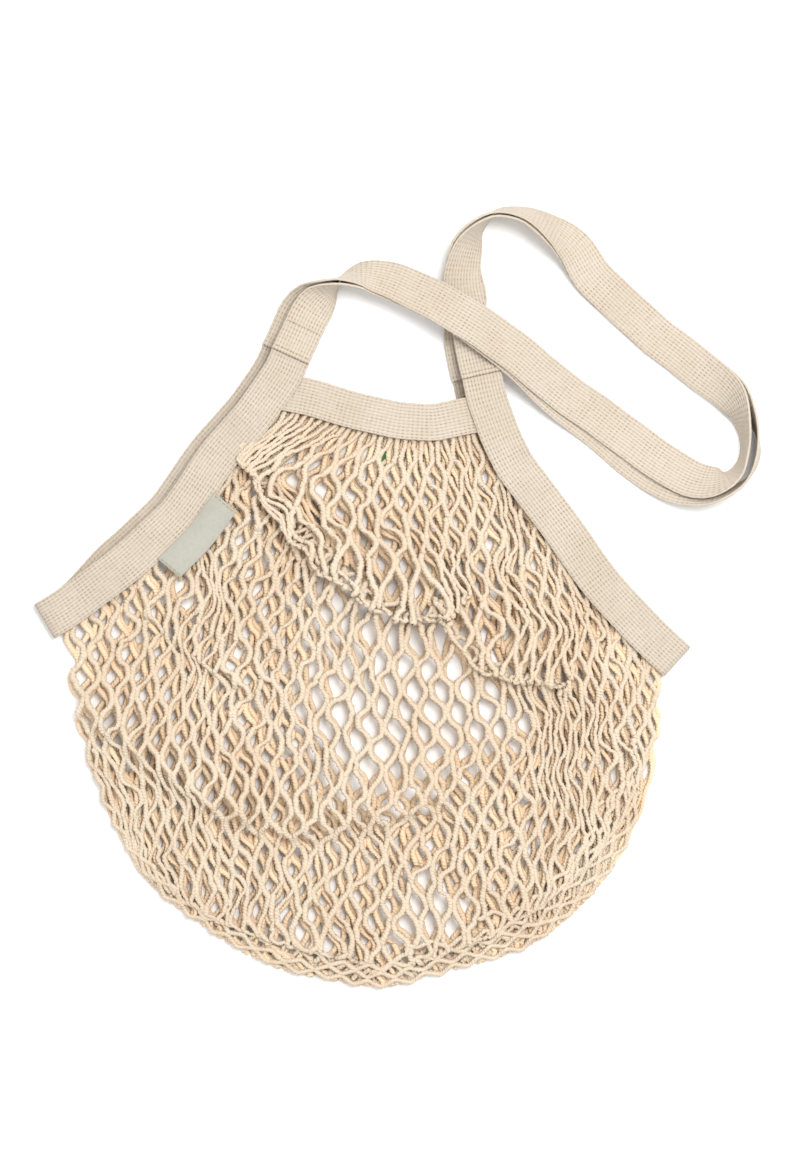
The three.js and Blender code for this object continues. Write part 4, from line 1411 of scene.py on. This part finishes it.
def makeStrands(name, strands, step, sides, material, thick):
    vertex, quads, uvs = [], [], []
    start = 0
    turn = np.arange(sides) * 2 * np.pi / sides
    rng = np.random.default_rng(len(strands))
    for n, (points, pitch) in enumerate(strands):
        ahead = unit(np.gradient(points, axis=0))
        side = unit(pitch - ahead * (pitch * ahead).sum(1)[:, None])
        up = np.cross(ahead, side)
        i = np.arange(len(points))
        beads = net["beads"] if step < 2 else 0.0
        beads = beads * (1 + 0.5 * rng.normal(0, 1, len(points)))[:, None]
        swell = beads * np.cos(2 * turn[None, :] + np.pi * i[:, None])
        wide = np.linalg.norm(np.cross(pitch, ahead), axis=1)
        slim = mix(net["slim"], 1.0, smooth(3.2, 7.2, wide))
        slim = slim + wobble(points[:, :2], 51, 4, 14, 0.05)
        rough = rng.normal(0, 0.08, (len(points), sides))
        r = thick / 2 * (1 + swell + rough) * slim[:, None]
        ring = (
            points[:, None]
            + side[:, None] * (r * np.cos(turn))[..., None]
            + up[:, None] * (r * np.sin(turn))[..., None]
        )
        vertex.append(ring.reshape(-1, 3))
        skin, k, _ = ringQuads(len(points), sides, start)
        last = start + (len(points) - 1) * sides
        fan = np.array([[0, m, m + 1, m + 2] for m in range(1, sides - 2, 2)])
        quads += [skin, start + fan[:, ::-1], last + fan]
        run = lengths(points[None])[0] + n * 0.7
        u0, u1 = run[:-1, None] + 0 * k, run[1:, None] + 0 * k
        v0, v1 = k / sides + 0 * u0, (k + 1) / sides + 0 * u0
        uvs += [cornerUv(u0, u1, v0, v1), np.zeros((len(fan) * 2, 4, 2))]
        start += len(points) * sides
    vertex, quads, uvs = (np.concatenate(parts) for parts in (vertex, quads, uvs))
    return makeMesh(name, vertex, quads, uvs, material)


frontStrands = layStrands("front")
legs = layLegs(frontStrands)
backStrands = layStrands("back")
innerStrands = layStrands("inner")
deepStrands = layStrands("deep")
third = len(frontStrands) // 3
frontRow, backRow = (net["step"], yarnMaterial), (net["backStep"], underLitYarnMaterial)
netPieces = []
for name, part, (step, material) in (
    ("net_front_left", frontStrands[:third] + legs, frontRow),
    ("net_front_middle", frontStrands[third : 2 * third], frontRow),
    ("net_front_right", frontStrands[2 * third :] + layHem(), frontRow),
    ("net_inner", innerStrands, backRow),
    ("net_deep", deepStrands, backRow),
    ("net_back", backStrands, backRow),
):
    netPieces.append(makeStrands(name, part, step, net["sides"], material, net["thick"]))
innerNet, deepNet, backNet = netPieces[3:]
for piece in netPieces:
    print(piece.name, "triangles", len(piece.data.polygons) * 2)
print("net made")

# The sewing.
sewing = dict(
    stitch=2.4,  # length of a stitch
    gap=0.9,
    thick=0.6,
    bow=0.28,  # how far a stitch bends up
    points=7,  # along a stitch
    seamFrom=2.5,  # seams across the laps, from the handles' ends
    seamTo=21.0,
    labelEdge=1.6,  # from the label's ends to its stitches
    labelThread=0.45,
)


def seamAcross(stations, distance, width, lift, fromEnd=False):
    # Stitches across a tape, some way from one of its ends.
    points, across, out = (part[::-1] if fromEnd else part for part in stations)
    s = lengths(points[None])[0]
    p, a, o = (
        np.array([np.interp(distance, s, part[:, c]) for c in range(3)])
        for part in (points, across, out)
    )
    o = o if o[2] > 0 else -o
    pitch = sewing["stitch"] + sewing["gap"]
    count = int((width - 2) / pitch)
    ahead = unit(np.cross(a, o))
    stitches = []
    for n in range(count):
        middle = (n - (count - 1) / 2) * pitch
        t = np.linspace(-0.5, 0.5, sewing["points"])
        rise = lift + sewing["bow"] * np.cos(np.pi * t) - sewing["bow"] / 2
        line = p + np.outer(middle + t * sewing["stitch"], a) + np.outer(rise, o)
        stitches.append((line, np.tile(ahead, (len(t), 1))))
    return stitches


tapeLift = tapeThick / 2 + 0.3
seams = []
for distance in (sewing["seamFrom"], sewing["seamTo"]):
    seams += seamAcross(handleLine, distance, tapeWidth, tapeLift)
    seams += seamAcross(handleLine, distance, tapeWidth, tapeLift, fromEnd=True)
seamPiece = makeStrands("lap_stitches", seams, 3, net["sides"], seamMaterial, sewing["thick"])
labelLift = labels["thick"] / 2 + 0.05
threads = []
for distance in (sewing["labelEdge"], labels["length"] - sewing["labelEdge"]):
    threads += seamAcross(labelLine, distance, labels["width"], labelLift)
threadPiece = makeStrands(
    "label_stitches", threads, 3, net["sides"], threadMaterial, sewing["labelThread"]
)
print("sewing made")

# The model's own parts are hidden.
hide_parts("net_body")
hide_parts("front_handle")
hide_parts("back_handle")
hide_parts("left_side_band")
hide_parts("right_side_band")
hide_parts("front_band")
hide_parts("back_band")
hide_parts("label")
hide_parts("care_label")


def netCut(first, last):
    # The flat cut of the net between two strands, in metres: how wide and how long it
    # is at most, and its area. The rows taken up in the folds belong to it.
    share = np.linspace(first, last, 60) / strandCount
    w, v = np.meshgrid(share, np.linspace(0, 1, 120), indexing="ij")
    xy = patchPoint(w, v)
    along = lengths(xy)
    folded = foldNet(xy, along)[2][:, -1] * net["row"]
    across = lengths(xy.transpose(1, 0, 2))[:, -1]
    one, two = xy[1:, 1:] - xy[:-1, :-1], xy[:-1, 1:] - xy[1:, :-1]
    area = np.abs(one[..., 0] * two[..., 1] - one[..., 1] * two[..., 0]).sum() / 2
    area *= 1 + folded.mean() / along[:, -1].mean()
    flat = (across.max() / 1000, (along[:, -1] + folded).max() / 1000)
    return flat, area / 1e6


def yarnLength(strands):
    return sum(lengths(points[None])[0, -1] for points, _ in strands)


thirds = [0, third, 2 * third, strandCount]
for piece, first, last in zip(netPieces, thirds[:3], thirds[1:]):
    flat, area = netCut(first, last)
    print(piece.name, "cut", np.round(flat, 3), "area", round(area, 4))
wallFlat, wallArea = netCut(0, strandCount)
for piece, strands, under in (
    (innerNet, innerStrands, "net_deep"),
    (deepNet, deepStrands, "net_back"),
):
    part = min(1.0, yarnLength(strands) / yarnLength(backStrands))
    print(piece.name, "cut", np.round(wallFlat, 3), "area", round(wallArea * part, 4))
print("net_back cut", np.round(wallFlat, 3), "area", round(wallArea, 4))

# The floor, the light and the camera.
stage = dict(
    floorSize=6.0,
    floorColour=(0.93, 0.93, 0.93),
    keyPower=30,
    keySize=0.9,
    keyPlace=(0.50, 0.55, 1.85),
    fill=0.97,
    lens=100,
    sensor=36,
    cameraPlace=(-0.0003, 0.0109, 2.070),
)
bpy.ops.mesh.primitive_plane_add(size=stage["floorSize"], location=(0, 0, 0))
floor = bpy.context.object
floor.name = "floor"
floorMaterial, _, _, floorShader = newMaterial("paleFloor")
floorShader.inputs["Base Color"].default_value = (*stage["floorColour"], 1)
floorShader.inputs["Roughness"].default_value = 0.9
floor.data.materials.append(floorMaterial)

keyLight = bpy.data.lights.new("key", "AREA")
keyLight.shape = "DISK"
keyLight.size = stage["keySize"]
keyLight.energy = stage["keyPower"]
key = bpy.data.objects.new("key", keyLight)
bpy.context.scene.collection.objects.link(key)
key.location = stage["keyPlace"]
key.rotation_euler = (-Vector(stage["keyPlace"])).to_track_quat("-Z", "Y").to_euler()

world = bpy.context.scene.world or bpy.data.worlds.new("world")
bpy.context.scene.world = world
world.use_nodes = True
background = world.node_tree.nodes["Background"]
background.inputs["Color"].default_value = (1, 1, 1, 1)
background.inputs["Strength"].default_value = stage["fill"]
bpy.context.scene.view_settings.view_transform = "Standard"

# The camera looks straight down, the photograph's upright pointing to +Y.
camData = bpy.data.cameras.new("camera")
camData.lens = stage["lens"]
camData.sensor_width = stage["sensor"]
cam = bpy.data.objects.new("camera", camData)
bpy.context.scene.collection.objects.link(cam)
cam.location = stage["cameraPlace"]
cam.rotation_euler = (0, 0, 0)
bpy.context.scene.camera = cam
